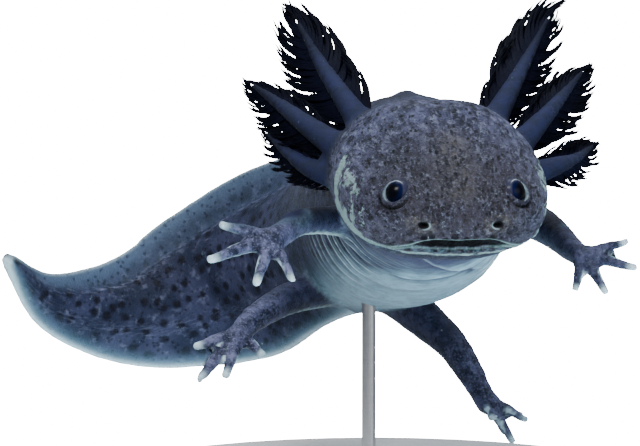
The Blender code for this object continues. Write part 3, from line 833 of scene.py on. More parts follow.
def limb_marks(points, limbs):
    """How near each point is to a digit's tip, root and sides, and to the palm."""
    found = {name: np.zeros(len(points)) for name in ("tip", "toe", "digit_rim_light", "wrist")}
    for name, limb in LIMBS.items():
        palm = np.array(limb["palm"][:3])
        light = HAND_LIGHT.get(name, 1.0)
        gap = points - palm
        found["wrist"] = np.maximum(found["wrist"], light * ease(18.0, 9.0, np.linalg.norm(gap, axis=1)))
        runs = [np.array(digit[:3]) - palm for digit in limb["digits"]]
        across = np.linalg.svd(np.array([unit(run) for run in runs]))[2][2]
        for digit, run in zip(limb["digits"], runs):
            near = tube_distance(points, digit_rows(limb, digit), 3.0) < 0.5
            share = (gap @ run) / (run @ run)
            offset = np.abs(gap @ unit(np.cross(across, run))) / between(digit[3:], np.clip(share, 0, 1))
            # the digit's edges, which the finish lights with painted rim light
            side = ease(0.86, 0.98, offset) * ease(1.35, 1.15, offset) * ease(0.45, 0.6, share)
            for mark, values in (("tip", ease(0.82, 1.06, share)), ("toe", light * ease(0.2, 0.6, share)),
                                 ("digit_rim_light", side)):
                found[mark] = np.where(near, np.maximum(found[mark], values), found[mark])
    return {mark: values * (limbs < 1) for mark, values in found.items()}


def stalk_marks(points, outward):
    """How far up its gill's stalk a point lies, and how far it faces down and out."""
    share = np.zeros(len(points))
    for name in GILLS:
        rows = stalk_rows(name)
        near = tube_distance(points, rows, 3.0) < 0.8
        run = rows[-1, :3] - rows[0, :3]
        share = np.where(near, np.maximum(share, ((points - rows[0, :3]) @ run) / (run @ run)), share)
    away = np.sign(points[:, 0] - HEAD_CENTRE[0])
    return share, ease(0.05, 0.75, 0.45 * outward[:, 0] * away - 0.75 * outward[:, 2])


def fin_marks(located, on_body):
    """Where the fins lie, the line along their roots and the distance from their edges."""
    place, _, _, height, sizes, run = located
    flesh, reach = flesh_and_fin(height, sizes)
    blade = ease(0.8, 2.5, reach - flesh)
    upper = 0.2 + 0.8 * ease(-0.5, 0.5, height)
    roots = np.maximum(hill(height - flesh + 0.3, 0.7), 0.45 * hill(height + 0.8 * flesh, 1.6))
    edge = np.minimum(reach - np.abs(height), np.maximum(SPINE_LINE.length[-1] - run - 1.1, 0.0))
    finned = on_body * np.maximum(blade, ease(7.0, 7.6, place)) > 0.2
    return {
        "fin": on_body * blade * ease(-1.0, 0.8, np.abs(height) - flesh) * upper * ease(2.6, 3.8, place),
        "fin_line": on_body * blade * ease(1.5, 3.0, place) * roots,
        "fin_edge": np.where(finned & ((height < 0) | (place > 2.8)), edge, AWAY),
        "fin_low": ease(0.5, -0.5, height),
    }


def skin_detail(points, outward):
    """The relief along the outward direction and the marks that the skin's finish follows."""
    located = SPINE_LINE.locate(points)
    place, _, side, height, sizes, run = located
    head, body, limbs, stalks = parts_distances(points, located)
    on_stalk = ease(*STALK_BORDER, np.minimum(head, body) - stalks)
    on_limb = ease(*LIMB_BORDER, np.minimum(head, body) - limbs) * (1 - on_stalk)
    rest = (1 - on_stalk) * (1 - on_limb)
    on_head = ease(*HEAD_BORDER, body - head) * rest
    on_body = rest * (1 - ease(*HEAD_BORDER, body - head))
    q = to_head(points)
    relief, marks = face_relief(q, on_head)
    folds, rings = body_relief(points, located, on_body)
    relief = relief + folds + on_limb * LIMB_UNEVEN * ripple(points, 2.2, 8)
    marks.update(rings)
    marks.update(fin_marks(located, on_body))
    marks.update(limb_marks(points, limbs))

    # Painted shade under the head: under_head darkens the band just behind the jaw through the creases mark,
    # and shade darkens the throat, reaching further back on the right side.
    low_head = on_head * ease(-3.6, -5.6, q[:, 2] + 0.12 * q[:, 1])
    below = on_body + low_head
    behind = run - 0.6 * np.maximum(np.abs(side) - 5.0, 0.0) + 0.8 * ripple(points, 5.0, 12)
    under_head = below * ease(19.5, 14.0, behind) * ease(-0.1, -0.5, height / sizes[:, 2])
    marks["creases"] = np.maximum(marks["creases"], 0.85 * under_head)
    aside = side + 5.0
    aslant = run + 1.8 * np.minimum(aside, 0) + 0.5 * np.maximum(aside, 0) + 1.8 * ripple(points, 7.0, 13)
    marks["shade"] = below * ease(34.0, 20.0, aslant) * ease(44.0, 36.0, run)
    first = -0.05 + 0.25 * ease(0.6, 1.2, place) + 0.20 * ease(1.2, 2.4, place)
    under = ease(0.0, 0.6, -height / sizes[:, 2] - first)
    marks["belly"] = np.clip(on_body * under * (1 - ease(3.6, 4.8, place))
                             + on_limb * 0.08 * ease(0.45, 0.95, -outward[:, 2])
                             + low_head, 0, 1)
    # Painted rim light: a pale line along the limbs' undersides, away from the body.
    marks["limb_rim_light"] = on_limb * ease(0.82, 0.97, -outward[:, 2]) * ease(0.5, 3.5, body)
    # Painted shade on the stalks' lower outer sides, and darker towards their tips.
    share, shaded = stalk_marks(points, outward)
    marks["stalk_shade"] = np.clip(on_stalk * (ease(0.55, 1.0, share) + shaded * ease(0.0, 0.4, share)), 0, 1)
    marks.update({"head": on_head, "limb": on_limb, "stalk": on_stalk})
    return relief, marks


# ================================================================ node trees
class Value:
    """A number in a node tree. An expression on values adds its Math nodes."""

    def __init__(self, graph, socket):
        self.graph = graph
        self.socket = socket

    def clamp(self):
        return self.graph.math("ADD", self, 0.0, clamp=True)

    def ease(self, low, high):
        """0 at low, 1 at high, smooth between."""
        made = self.graph.node("ShaderNodeMapRange", {"Value": self, "From Min": low, "From Max": high},
                               interpolation_type="SMOOTHSTEP")
        return Value(self.graph, made.outputs[0])


def add_operator(sign, operation):
    """Lets a Python operator on values, or on a value and a number, add a Math node."""
    setattr(Value, f"__{sign}__", lambda one, other: one.graph.math(operation, one, other))
    setattr(Value, f"__r{sign}__", lambda one, other: one.graph.math(operation, other, one))


for sign, operation in (("add", "ADD"), ("sub", "SUBTRACT"), ("mul", "MULTIPLY"), ("truediv", "DIVIDE"),
                        ("pow", "POWER")):
    add_operator(sign, operation)


class Graph:
    """Adds nodes to one shader or geometry tree. Colours of its look can be given by name."""

    def __init__(self, tree, look=None):
        self.tree = tree
        self.look = look

    def node(self, kind, inputs=None, **settings):
        made = self.tree.nodes.new(kind)
        for name, setting in settings.items():
            setattr(made, name, setting)
        self.fill(made, inputs or {})
        return made

    def fill(self, node, inputs):
        """Links values, sockets and nodes to a node's inputs, and sets plain numbers and colours on them."""
        for name, value in inputs.items():
            socket = node.inputs[name]
            value = value.outputs[0] if isinstance(value, bpy.types.Node) else value
            if isinstance(value, (Value, bpy.types.NodeSocket)):
                self.tree.links.new(getattr(value, "socket", value), socket)
            elif socket.type == "RGBA":
                colour = getattr(self.look, value + "_colour") if isinstance(value, str) else value
                socket.default_value = (*colour, 1.0)
            else:
                socket.default_value = value

    def math(self, operation, *terms, clamp=False):
        made = self.node("ShaderNodeMath", dict(enumerate(terms)), operation=operation, use_clamp=clamp)
        return Value(self, made.outputs[0])

    def mark(self, name):
        """A number stored on the mesh."""
        return Value(self, self.node("ShaderNodeAttribute", attribute_name=name).outputs["Fac"])

    def paint(self, colour, *coats):
        """Lays coats over a colour, each a share from 0 to 1 and its own colour."""
        for share, coat in coats:
            colour = self.node("ShaderNodeMix", {0: share, 6: colour, 7: coat}, data_type="RGBA").outputs[2]
        return colour

    def vector(self, x=0.0, y=0.0, z=0.0):
        return self.node("ShaderNodeCombineXYZ", {"X": x, "Y": y, "Z": z})

    def place(self, size, turn=None):
        """Object coordinates in units of size millimetres. With a turn, they run from the head's centre."""
        source = self.node("ShaderNodeTexCoord").outputs["Object"]
        size = size if isinstance(size, tuple) else (size,) * 3
        inputs = {"Vector": source, "Scale": [s * MM for s in size]}
        if turn:
            inputs.update({"Location": [c * MM for c in HEAD_CENTRE], "Rotation": turn})
        return self.node("ShaderNodeMapping", inputs, vector_type="TEXTURE")

    def hill(self, value, width):
        """A bell over value 0."""
        return self.math("POWER", math.e, (value / width) ** 2 * -1.0)

    def noise(self, vector, detail=2.0, roughness=0.5, distortion=0.0):
        made = self.node("ShaderNodeTexNoise", {"Vector": vector, "Scale": 1.0, "Detail": detail,
                                                "Roughness": roughness, "Distortion": distortion})
        return Value(self, made.outputs["Fac"])

    def cells(self, vector, randomness=1.0, dimensions="3D"):
        """Distance to the nearest of scattered points, about one for each unit of size."""
        made = self.node("ShaderNodeTexVoronoi", {"Vector": vector, "Scale": 1.0, "Randomness": randomness},
                         feature="F1", voronoi_dimensions=dimensions)
        return Value(self, made.outputs["Distance"])

    def bump(self, height, distance):
        return self.node("ShaderNodeBump", {"Height": height, "Distance": distance * MM, "Strength": 1.0})


def blank_material(name, look=None):
    """A material whose surface is one Principled BSDF. Returns it, its graph and the surface node."""
    made = bpy.data.materials.new(name)
    made.use_nodes = True
    return made, Graph(made.node_tree, look), made.node_tree.nodes["Principled BSDF"]


# ================================================================ the skin's finish
FACE_TURN = (HEAD_PITCH, 0.0, HEAD_YAW)
FORE_TURN = (HEAD_PITCH + math.pi / 2, 0.0, HEAD_YAW)  # the face's own plane is the first two coordinates
# colour of the painted shade in the face's openings and creases
BLACK = (0.001, 0.001, 0.002)
SKIN_SHINE = {"Specular IOR Level": 0.22, "Sheen Weight": 0.03, "Sheen Roughness": 0.30,
              "Sheen Tint": (0.65, 0.85, 1.0)}


class SkinTextures:
    """The noises that several parts of the skin share."""

    def __init__(self, g):
        self.mottle = g.noise(g.place(2.4), detail=4.0, roughness=0.65)
        self.grain = g.noise(g.place(0.45), detail=3.0, roughness=0.6)
        dots = g.cells(g.place(1.5)) + (self.grain - 0.5) * 0.4
        self.dotted = (1 - dots.ease(0.16, 0.34)) * 0.55
        self.crown = g.noise(g.place((3.6, 7.0, 3.4), FACE_TURN), detail=4.0, roughness=0.62)
        self.lumps = g.noise(g.place((1.2, 2.4, 1.2), FACE_TURN), detail=5.0, roughness=0.72, distortion=0.3)
        self.patches = g.noise(g.place(1.7, FACE_TURN), detail=5.0, roughness=0.62)
        # Pits: sunk in the bump, and darkened in colour as painted shade.
        pits = g.cells(g.place((1.3, 2.6, 1.2), FACE_TURN)) + (self.lumps - 0.5) * 0.7
        self.pits_and_shade = 1 - pits.ease(0.18, 0.29)


def back_finish(g, t):
    """Slate clouds with pale flecks, round dark spots and small dots."""
    broad = g.noise(g.place(9.0), detail=3.0)
    spots = g.cells(g.vector(g.mark("run") / 4.6, g.mark("level") / 4.0), 0.8, "2D") + (t.mottle - 0.5) * 0.4
    return g.paint(
        "back",
        (broad.ease(0.38, 0.62), "back_light"),
        (t.mottle.ease(0.52, 0.74) * 0.22, "fleck"),
        ((1 - spots.ease(0.12, 0.33)) * 0.92, "spot"),
        (t.dotted, "spot"),
    )


def head_finish(g, t):
    """Grey lumps with pale flecks and painted glints, pits darkened with painted shade, a browner snout, pale
    cheeks and a creamy crown.
    """
    warm, mark = g.mark("warm"), g.mark("cheek")
    # Painted highlights: small bright glints on the head's lumps.
    glints = (1 - g.cells(g.place(0.6, FACE_TURN)).ease(0.16, 0.28)) * t.lumps.ease(0.44, 0.56)
    cream = g.mark("cream") * (t.lumps * 0.9 + t.crown * 0.6).ease(0.60, 0.90)
    cheek = (t.patches - (1 - mark) * 0.24).ease(0.42, 0.48) * mark.ease(0.05, 0.3)
    muzzle = g.cells(g.place(2.0, FORE_TURN), 0.85, "2D") + (t.lumps - 0.5) * 0.15
    pores = g.cells(g.place(1.25, FORE_TURN), 1.0, "2D")
    pores = g.mark("face") * (1 - pores.ease(0.15, 0.25)) * t.crown.ease(0.58, 0.46)
    return g.paint(
        "head",
        (t.crown.ease(0.36, 0.66), "head_light"),
        (t.lumps.ease(0.47, 0.39) * 0.75, "spot"),
        (t.lumps.ease(0.53, 0.63) * 0.95, "fleck"),
        (t.pits_and_shade * 0.95, "spot"),
        (warm * (0.35 + t.crown * 0.5), "snout"),
        (glints * 0.5, "glow"),
        (cream * 0.65, "cream"),
        (t.grain.ease(0.54, 0.70) * 0.60, "fleck"),
        (t.grain.ease(0.46, 0.32) * 0.50, "spot"),
        (cheek * 0.95, "pale"),
        (cheek * t.lumps.ease(0.48, 0.6) * 0.7, "glow"),
        (warm * t.crown.ease(0.36, 0.66) * 0.45, "snout"),
        (g.mark("muzzle") * (1 - muzzle.ease(0.28, 0.36)), "spot"),
        (pores * 0.8, "spot"),
        (g.mark("nostril").ease(3.2, 1.3) * t.lumps.ease(0.42, 0.6) * 0.5, "cream"),
    )


def limb_finish(g, t):
    """Slate with a lighter, flecked hand and a painted rim light along the underside."""
    wrist = g.mark("wrist")
    return g.paint(
        "back",
        (t.mottle.ease(0.36, 0.68) * (0.2 + wrist * 0.3), "head_light"),
        (t.grain.ease(0.50, 0.68) * wrist * 0.35, "fleck"),
        (g.mark("toe") * t.mottle.ease(0.42, 0.70) * 0.22, "fleck"),
        (t.dotted * 0.7, "spot"),
        ((g.mark("limb_rim_light") * (0.4 + t.mottle * 0.9)).clamp(), "pale"),
    )


def paint_body(g, t, colour):
    """Fins, pale belly, throat folds and flank rings with painted shade in their grooves and painted
    highlights on their crests, painted shade on the throat, and painted rim light along the edges.
    """
    run, edge, low = g.mark("run"), g.mark("fin_edge"), g.mark("fin_low")
    streaks = g.noise(g.vector(run / 3.0, g.mark("level") / 0.55), detail=4.0, roughness=0.6)
    ring = g.vector(g.mark("fold_run") / 1.1, g.mark("level") / 7.0)
    wrinkles = g.noise(ring, detail=4.0, roughness=0.6, distortion=0.4)
    shade = g.mark("shade")
    underside = g.paint(
        "belly",
        ((wrinkles * 0.3 + t.mottle * 0.7).ease(0.36, 0.66), "belly_light"),
        (run.ease(28.0, 44.0) * 0.2, "glow"),
        # painted shade on the throat, streaked by the wrinkles
        (shade * (wrinkles.ease(0.66, 0.40) * 0.3 + 0.7) * 0.97, "back_light"),
    )
    # Ring folds: painted shade in the grooves between them, deeper where the throat is shaded, and a painted
    # highlight along their crests.
    half = 0.5 * FOLD_SPACING
    near = half - g.math("PINGPONG", g.mark("fold_run") + half, half)
    crest = g.hill(near - half, 0.34) + g.hill(near - 0.31 * FOLD_SPACING, 0.2) * 0.25
    crest = crest * (0.8 + t.mottle * 0.7) * (1 - shade * 0.5)
    rings = g.mark("folded")
    # Painted rim light along the fins' edges, wider and stronger on the lower fin, partly the edge's own
    # paler colour.
    rim = g.hill(edge, 0.62 + low * 0.28) * (0.45 + low * 0.55)
    # Toe tips pale, partly their own paler colour and partly painted rim light, and painted rim light along
    # the digits' sides.
    shining = g.mark("tip") * (0.95 + t.mottle * 0.5) + g.mark("digit_rim_light") * 1.1
    return g.paint(
        colour,
        (g.mark("fin") * (0.12 + t.mottle * 0.4 + edge.ease(5.5, 0.5) * 0.8).clamp(),
         g.paint("fin", (t.dotted, "back"))),
        ((g.mark("fin_line") * streaks.ease(0.45, 0.70) * 0.38).clamp(), "fleck"),
        (g.mark("belly") * 0.9, underside),
        # painted shade in the ring grooves, then a painted highlight on their crests
        ((rings * g.hill(near, 1.6) * (0.3 + shade * 0.6)).clamp(), "back"),
        ((rings * crest).clamp(), "glow"),
        # painted shade in the throat's creases and just behind the jaw, and a painted highlight along the
        # creases' lips
        ((g.mark("creases") * 1.05).clamp(), "back_light"),
        ((g.mark("crease_lip_highlights") * 0.3).clamp(), "glow"),
        # a painted band of rim light inside the lower fin's edge
        (g.hill(edge, 2.3) * low * 0.65, "belly"),
        (rim.clamp(), "glow"),
        (shining.clamp(), "glow"),
    )


def paint_features(g, t, colour):
    """Lips, jaw line, eye rims and nostrils, with painted highlights and reflections, and painted shade in
    every opening, in the crease under each eye and under the chin.
    """
    face, gap, half, opened = (g.mark(name) for name in ("face", "mouth_gap", "mouth_half", "opened"))
    eye, pit = g.mark("eye_radius"), g.mark("nostril")
    upper = g.hill(gap - half - 0.34, 0.30 - opened * 0.13) * (0.75 - opened * 0.3 + t.grain * 0.8)
    lower = g.hill(gap + half + 0.22, 0.17) * (1 - opened * 0.65) * (0.5 + t.lumps * 0.8)
    jaw = (g.mark("jaw") - 0.04 + (t.patches - 0.5) * 1.9).ease(0.28, 0.62) * (0.55 + t.lumps * 0.9)
    strip = face * (gap + half).ease(0.0, -0.2) * gap.ease(-4.8, -3.8)
    # Painted reflection: a thin bright line on the lid's inner edge, on the eye's outer and upper side.
    lid_reflection = g.hill(eye - EYE_SHOWN - 0.08, 0.10) * g.mark("eye_aside")
    # Painted shade: black in the mouth's slit, the nostrils' holes, the gap round each eyeball, the crease
    # under each eye and the line under the chin.
    slit = (g.math("ABSOLUTE", gap) - half).ease(0.05, -0.22) * (0.4 + opened * 0.6)
    slit = slit * (gap / half).ease(-1.25, -0.8)
    crease = g.hill(eye - EYE_CREASE[1], 0.28) * g.mark("eye_below").ease(0.0, 0.75) * 0.8
    dark = (face * slit + g.mark("chin_shade") * 0.7 + pit.ease(0.95, 0.65) + crease
            + eye.ease(EYE_SHOWN + 0.05, EYE_SHOWN - 0.15))
    return g.paint(
        colour,
        (strip * t.lumps.ease(0.45, 0.6) * 0.5, "belly"),
        ((face * (upper + lower) + jaw).clamp(), "pale"),
        (g.hill(eye - EYE_SHOWN - 0.2, 0.34) * 0.7, "lid"),
        (lid_reflection * 0.9, "glow"),
        (g.hill(pit - 0.95, 0.16) * g.mark("nostril_highlight") * 0.9, "glow"),
        # the painted shade in the openings and creases
        (dark.clamp(), BLACK),
    )


def skin_material(look):
    """Slate skin, mottled on the head, with dark spots, a pale belly, painted shade and highlights, and
    painted rim light along the edges.
    """
    made, g, surface = blank_material("axolotl_skin", look)
    t = SkinTextures(g)
    head, stalk = g.mark("head"), g.mark("stalk")
    stalk_skin = g.paint(
        "stalk",
        (t.mottle.ease(0.35, 0.65), "back"),
        (g.mark("stalk_shade") * 0.85, "spot"),
    )
    colour = g.paint(
        back_finish(g, t),
        (head, head_finish(g, t)),
        (g.mark("limb"), limb_finish(g, t)),
        (stalk, stalk_skin),
    )
    colour = paint_features(g, t, paint_body(g, t, colour))
    height = t.grain * 0.30 + t.mottle * 0.3 + head * (t.lumps * 4.5 + t.grain * 0.9 - t.pits_and_shade * 1.6)
    height = (height - t.dotted * (1 - head) * 0.25) * (1 - stalk * 0.7)
    g.fill(surface, {"Base Color": colour, "Roughness": 0.34 + t.mottle * 0.25 + stalk * 0.35,
                     "Normal": g.bump(height, 1.0), **SKIN_SHINE})
    return made


# ================================================================ skin
SKIN_NODES = ("head", "lower_jaw", "neck", "chest", "trunk", "tail_root", "tail_middle", "tail_end",
              *(node for limb in LIMBS.values() for node in limb["nodes"]), *GILLS)
MOST_TRIANGLES = 200_000        # that one piece may have
FIRST_ROUNDS = 4                # of settling the rough mesh
RELAX_ROUNDS = 3


def make_skin(look):
    mesh = rough_mesh(look.grain / MM)
    mesh.name = "skin"
    points, outward = settle(positions(mesh), FIRST_ROUNDS)
    pairs = numbers(mesh.edges, "vertices", 2, np.int32)
    for _ in range(RELAX_ROUNDS):
        points, outward = settle(relax(points, outward, pairs), 1)
    place_vertices(mesh, points)
    for level in range(1, REFINEMENTS + 1):
        refine(mesh, worth_refining(positions(mesh), level))
        points, outward = settle(onto_fin_edge(positions(mesh)), 2)
        place_vertices(mesh, points)
    relief, marks = skin_detail(points, outward)
    place_vertices(mesh, (points + outward * relief[:, None]) * MM)
    for name, values in marks.items():
        store(mesh, name, values)
    mesh.shade_smooth()
    triangles = sum(len(polygon.vertices) - 2 for polygon in mesh.polygons)
    if triangles >= MOST_TRIANGLES:
        raise ValueError(f"the skin has {triangles} triangles; it needs a larger grain")
    mesh.materials.clear()
    mesh.materials.append(skin_material(look))
    skin = link("skin", mesh)
    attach(skin, "root")
    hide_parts(*SKIN_NODES)


# ================================================================ eyes
CORNEA_RISE = 0.14
CORNEA_WIDTH = 1.5
PUPIL = (0.0005, 0.0007, 0.003)
LINE_TOWARDS = (0.75, 0.0, 0.35)  # where the painted reflection line lies, seen from the ball's middle


def eye_material(look):
    """Deep blue disc with a black middle in a violet-grey ball, with a painted reflection line along its
    outer side.
    """
    made, g, surface = blank_material("axolotl_eye", look)
    disc, edge = g.mark("disc"), g.mark("edge")
    streaks = g.noise(g.place(0.35), detail=3.0)
    line = edge.ease(0.93, 0.97) * edge.ease(1.03, 0.99) * g.mark("reflection_side")
    colour = g.paint(PUPIL, ((disc + (streaks - 0.5) * 0.2).ease(0.55, 1.0), "ball"),
                     (disc.ease(0.97, 1.06), "sclera"), (line, "ring"))
    g.fill(surface, {"Base Color": colour, "Roughness": 0.30, "Specular IOR Level": 0.06,
                     "Coat Weight": 0.07, "Coat Roughness": 0.03})
    return made


def make_eye(side, sign, material):
    """A ball whose poles lie along its own opening's axis, with the cornea standing a little proud."""
    low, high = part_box(f"eye_{side}")
    mirror = np.array((sign, 1, 1))
    centre = np.array((low + high) / 2) / MM + HEAD_AXES @ (EYE_SHIFT * mirror)
    facing = HEAD_AXES @ unit(EYE_FACING * mirror)
    gaze = HEAD_AXES @ unit(EYE_GAZE * mirror)
    away = HEAD_AXES @ unit(LINE_TOWARDS * mirror)
    turn = Vector(UP).rotation_difference(Vector(facing)).to_matrix()
    shape = bmesh.new()
    bmesh.ops.create_uvsphere(shape, u_segments=64, v_segments=48, radius=EYE_RADIUS)
    local = np.array([turn @ vertex.co for vertex in shape.verts])
    cornea = hill(np.linalg.norm(local - gaze * EYE_RADIUS, axis=1), CORNEA_WIDTH)
    local += gaze * CORNEA_RISE * cornea[:, None]
    for vertex, place in zip(shape.verts, (local + centre) * MM):
        vertex.co = place
    mesh = mesh_of(shape, f"{side}_eyeball")
    outward, ahead = local @ facing, local @ gaze
    aside = local - outward[:, None] * facing
    reach = np.linalg.norm(local - ahead[:, None] * gaze, axis=1)
    store(mesh, "disc", np.where(ahead > 0, reach / EYE_DISC, 2.0))
    store(mesh, "edge", np.where(outward > 0, np.linalg.norm(aside, axis=1) / EYE_SHOWN, 2.0))
    store(mesh, "reflection_side", ease(-0.4, 0.5, aside @ away / EYE_SHOWN))
    mesh.shade_smooth()
    mesh.materials.append(material)
    eye = link(f"{side}_eyeball", mesh)
    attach(eye, "root")
    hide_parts(f"eye_{side}")


# ================================================================ gill filaments
CLUMPS = 22                     # on each side of a stalk, in each of its three rows
ROOT_SHARE = 0.13               # how far up the stalk the first filament grows
LEANS = {1: math.radians(47.0), -1: math.radians(33.0)}  # towards the stalk's tip, above and below it
TIP_LEAN = math.radians(40.0)   # more of it at the very tip
LAYER_REACH = (1.36, 1.20, 0.80)  # of the front row, the rear row and the short filling between them
LAYER_TILT = (0.0, 26.0, 12.0)  # to the rear, in degrees
GATHERED = (0.72, 0.66, 0.0)    # how far a clump's filaments close up at their ends
CLUMP_WIDTH = 1.25              # in shares of the distance between clumps
REACH_RANGE = (0.90, 1.06)      # of a clump's length
TILT_RANGE = (10, 26)           # of a clump's tilt, in degrees, on top of its row's
LENGTH_RANGE = (0.94, 1.02)     # of a filament's length
LEAN_SPREAD = 0.05
AIM_SPREAD = 0.10
MAP_MARGIN = (0.02, 0.08)       # round the filaments' patches on the bake map
STALK_SAMPLES = 201
SUNK_SHARE = 0.40               # a filament starts this far from the stalk's middle, as a share of its radius
FILAMENT_SHAPE = {"Flatness": 0.55, "Bow": 0.42, "Rings": 6}
PATCH = 0.003                   # size of a filament's patch on the bake map


def filament_material(look):
    """Near-black blue, a little lighter at the root."""
    made, g, surface = blank_material("axolotl_filament", look)
    shade = g.noise(g.place(1.2))
    tip = (g.mark("reach").ease(0.0, 0.5) + (shade - 0.5) * 0.6).clamp()
    g.fill(surface, {"Base Color": g.paint("root", (tip, "tip")),
                     "Roughness": 0.42 + shade * 0.2, "Specular IOR Level": 0.05})
    return made


def stalk_place(fine, heading, share, sign, tilt):
    """Where a filament starts, the way out of the stalk there, tilted to the rear, and the stalk's way."""
    i = int(min(max(share, ROOT_SHARE * 0.7), 1.0) * (STALK_SAMPLES - 1))
    along = heading[i]
    back = np.array((0.0, 1.0, 0.0))
    out = unit(np.cross(along, back)) * sign
    out = out if out[2] * sign > 0 else -out
    flat = out * math.cos(tilt) + unit(back - (back @ along) * along) * math.sin(tilt)
    return fine[i, :3] + flat * fine[i, 3] * SUNK_SHARE, flat, along


def reach_along(share):
    """How long the filaments are at each place up the stalk, as a share of the longest."""
    return 0.44 + 0.56 * math.sin(math.pi * share ** 1.15)


def filament_points(name, look, draw):
    """Root, turn, size and bake place of every filament of one gill."""
    rows, reach_up, reach_down = GILLS[name]
    fine = smooth_rows(rows, STALK_SAMPLES)
    heading = unit(np.gradient(fine[:, :3], axis=0))
    roots, turns, sizes, places = [], [], [], []
    strands = look.strands
    wide = (1 - ROOT_SHARE) / CLUMPS * CLUMP_WIDTH
    for sign, whole in ((1, reach_up), (-1, reach_down)):
        for layer in range(3):
            row = layer + (3 if sign > 0 else 0)
            for clump in range(CLUMPS):
                middle = min(ROOT_SHARE + (1 - ROOT_SHARE) * (clump + 0.33 * layer + 0.3) / CLUMPS, 0.995)
                length = whole * draw.uniform(*REACH_RANGE) * LAYER_REACH[layer] * reach_along(middle)
                lean = LEANS[sign] + TIP_LEAN * middle ** 4 + draw.normal(0.0, LEAN_SPREAD)
                tilt = math.radians(draw.uniform(*TILT_RANGE) + LAYER_TILT[layer])
                goals = []
                for offset in (-0.5, 0.5):
                    start, flat, along = stalk_place(fine, heading, middle + offset * wide, sign, tilt)
                    goals.append(start + (flat * math.cos(lean) + along * math.sin(lean)) * length)
                for strand in range(strands):
                    offset = (strand + 0.5) / strands - 0.5
                    start, _, along = stalk_place(fine, heading, middle + offset * wide, sign, tilt)
                    goal = between(goals, offset * (1 - GATHERED[layer]) + 0.5)
                    aim = goal + draw.normal(0.0, AIM_SPREAD, 3) - start
                    size = np.linalg.norm(aim) * (1 - 0.5 * abs(offset) ** 1.5) * draw.uniform(*LENGTH_RANGE)
                    aim = unit(aim)
                    bend = unit(along - (along @ aim) * aim)
                    turn = Matrix(np.column_stack([aim, np.cross(bend, aim), bend]).tolist()).to_euler()
                    roots.append(start * MM)
                    turns.append(tuple(turn))
                    sizes.append(size * MM)
                    across = (clump * strands + strand + 0.5) / (CLUMPS * strands)
                    places.append((MAP_MARGIN[0] + (1 - 2 * MAP_MARGIN[0]) * across,
                                   MAP_MARGIN[1] + (1 - 2 * MAP_MARGIN[1]) * (row + 0.5) / 6 + 0.05 * offset,
                                   0.0))
    return roots, {"turn": turns, "size": sizes, "place": places}


def filament_tree():
    """Geometry nodes that put a tapering, bowed filament on every point, by the point's own turn and size."""
    tree = bpy.data.node_groups.new("gill_filaments", "GeometryNodeTree")
    face = tree.interface
    for label, kind in (("Geometry", "Geometry"), ("Root Width", "Float"), ("Flatness", "Float"),
                        ("Bow", "Float"), ("Rings", "Int"), ("Material", "Material")):
        face.new_socket(label, in_out="INPUT", socket_type=f"NodeSocket{kind}")
    face.new_socket("Geometry", in_out="OUTPUT", socket_type="NodeSocketGeometry")
    g = Graph(tree)
    given = g.node("NodeGroupInput").outputs
    bow = Value(g, given["Bow"])
    arc = g.node("GeometryNodeCurveQuadraticBezier",
                 {"Resolution": given["Rings"], "Start": (0, 0, 0),
                  "Middle": g.vector(0.55, 0.0, bow * -0.12), "End": g.vector(0.95, 0.0, bow)})
    along = Value(g, g.node("GeometryNodeSplineParameter").outputs["Factor"])
    taper = Value(g, given["Root Width"]) * ((1 - along ** 3.4) * (0.75 + along * 0.7)).clamp() + 0.003
    marked = g.node("GeometryNodeStoreNamedAttribute", {"Geometry": arc, "Name": "reach", "Value": along},
                    data_type="FLOAT", domain="POINT")
    ring = g.node("GeometryNodeCurvePrimitiveCircle", {"Resolution": 4, "Radius": 1.0})
    flat = g.vector(1.0, given["Flatness"], 1.0)
    profile = g.node("GeometryNodeTransform", {"Geometry": ring, "Scale": flat})
    blade = g.node("GeometryNodeCurveToMesh",
                   {"Curve": marked, "Profile Curve": profile, "Scale": taper, "Fill Caps": True})
    turn = g.node("GeometryNodeInputNamedAttribute", {"Name": "turn"}, data_type="FLOAT_VECTOR")
    size = g.node("GeometryNodeInputNamedAttribute", {"Name": "size"}, data_type="FLOAT")
    turned = g.node("FunctionNodeEulerToRotation", {0: turn})
    spread = g.node("GeometryNodeInstanceOnPoints",
                    {"Points": given["Geometry"], "Instance": blade, "Rotation": turned, "Scale": size})
    real = g.node("GeometryNodeRealizeInstances", {"Geometry": spread})
    painted = g.node("GeometryNodeSetMaterial", {"Geometry": real, "Material": given["Material"]})
    g.node("NodeGroupOutput", {"Geometry": painted})
    return tree


def set_inputs(modifier, values):
    """Sets a geometry nodes modifier's inputs by their sockets' identifiers."""
    for socket in modifier.node_group.interface.items_tree:
        if socket.item_type == "SOCKET" and socket.in_out == "INPUT" and socket.name in values:
            modifier[socket.identifier] = values[socket.name]


def bake_map(mesh):
    """The OFBake map: each filament is a small patch at its root's place on the stalk's unwrap."""
    place = numbers(mesh.attributes["place"].data, "vector", 3)[:, :2]
    reach = numbers(mesh.attributes["reach"].data, "value")
    corner = numbers(mesh.loops, "vertex_index", kind=np.int32)
    start = numbers(mesh.polygons, "loop_start", kind=np.int32)
    step = np.arange(len(corner)) - np.repeat(start, np.diff(np.append(start, len(corner))))
    local = np.stack([reach[corner], 0.25 + 0.5 * (step % 2)], 1) - 0.5
    layer = mesh.uv_layers.new(name="OFBake")
    layer.uv.foreach_set("vector", (place[corner] + PATCH * local).astype(np.float32).ravel())


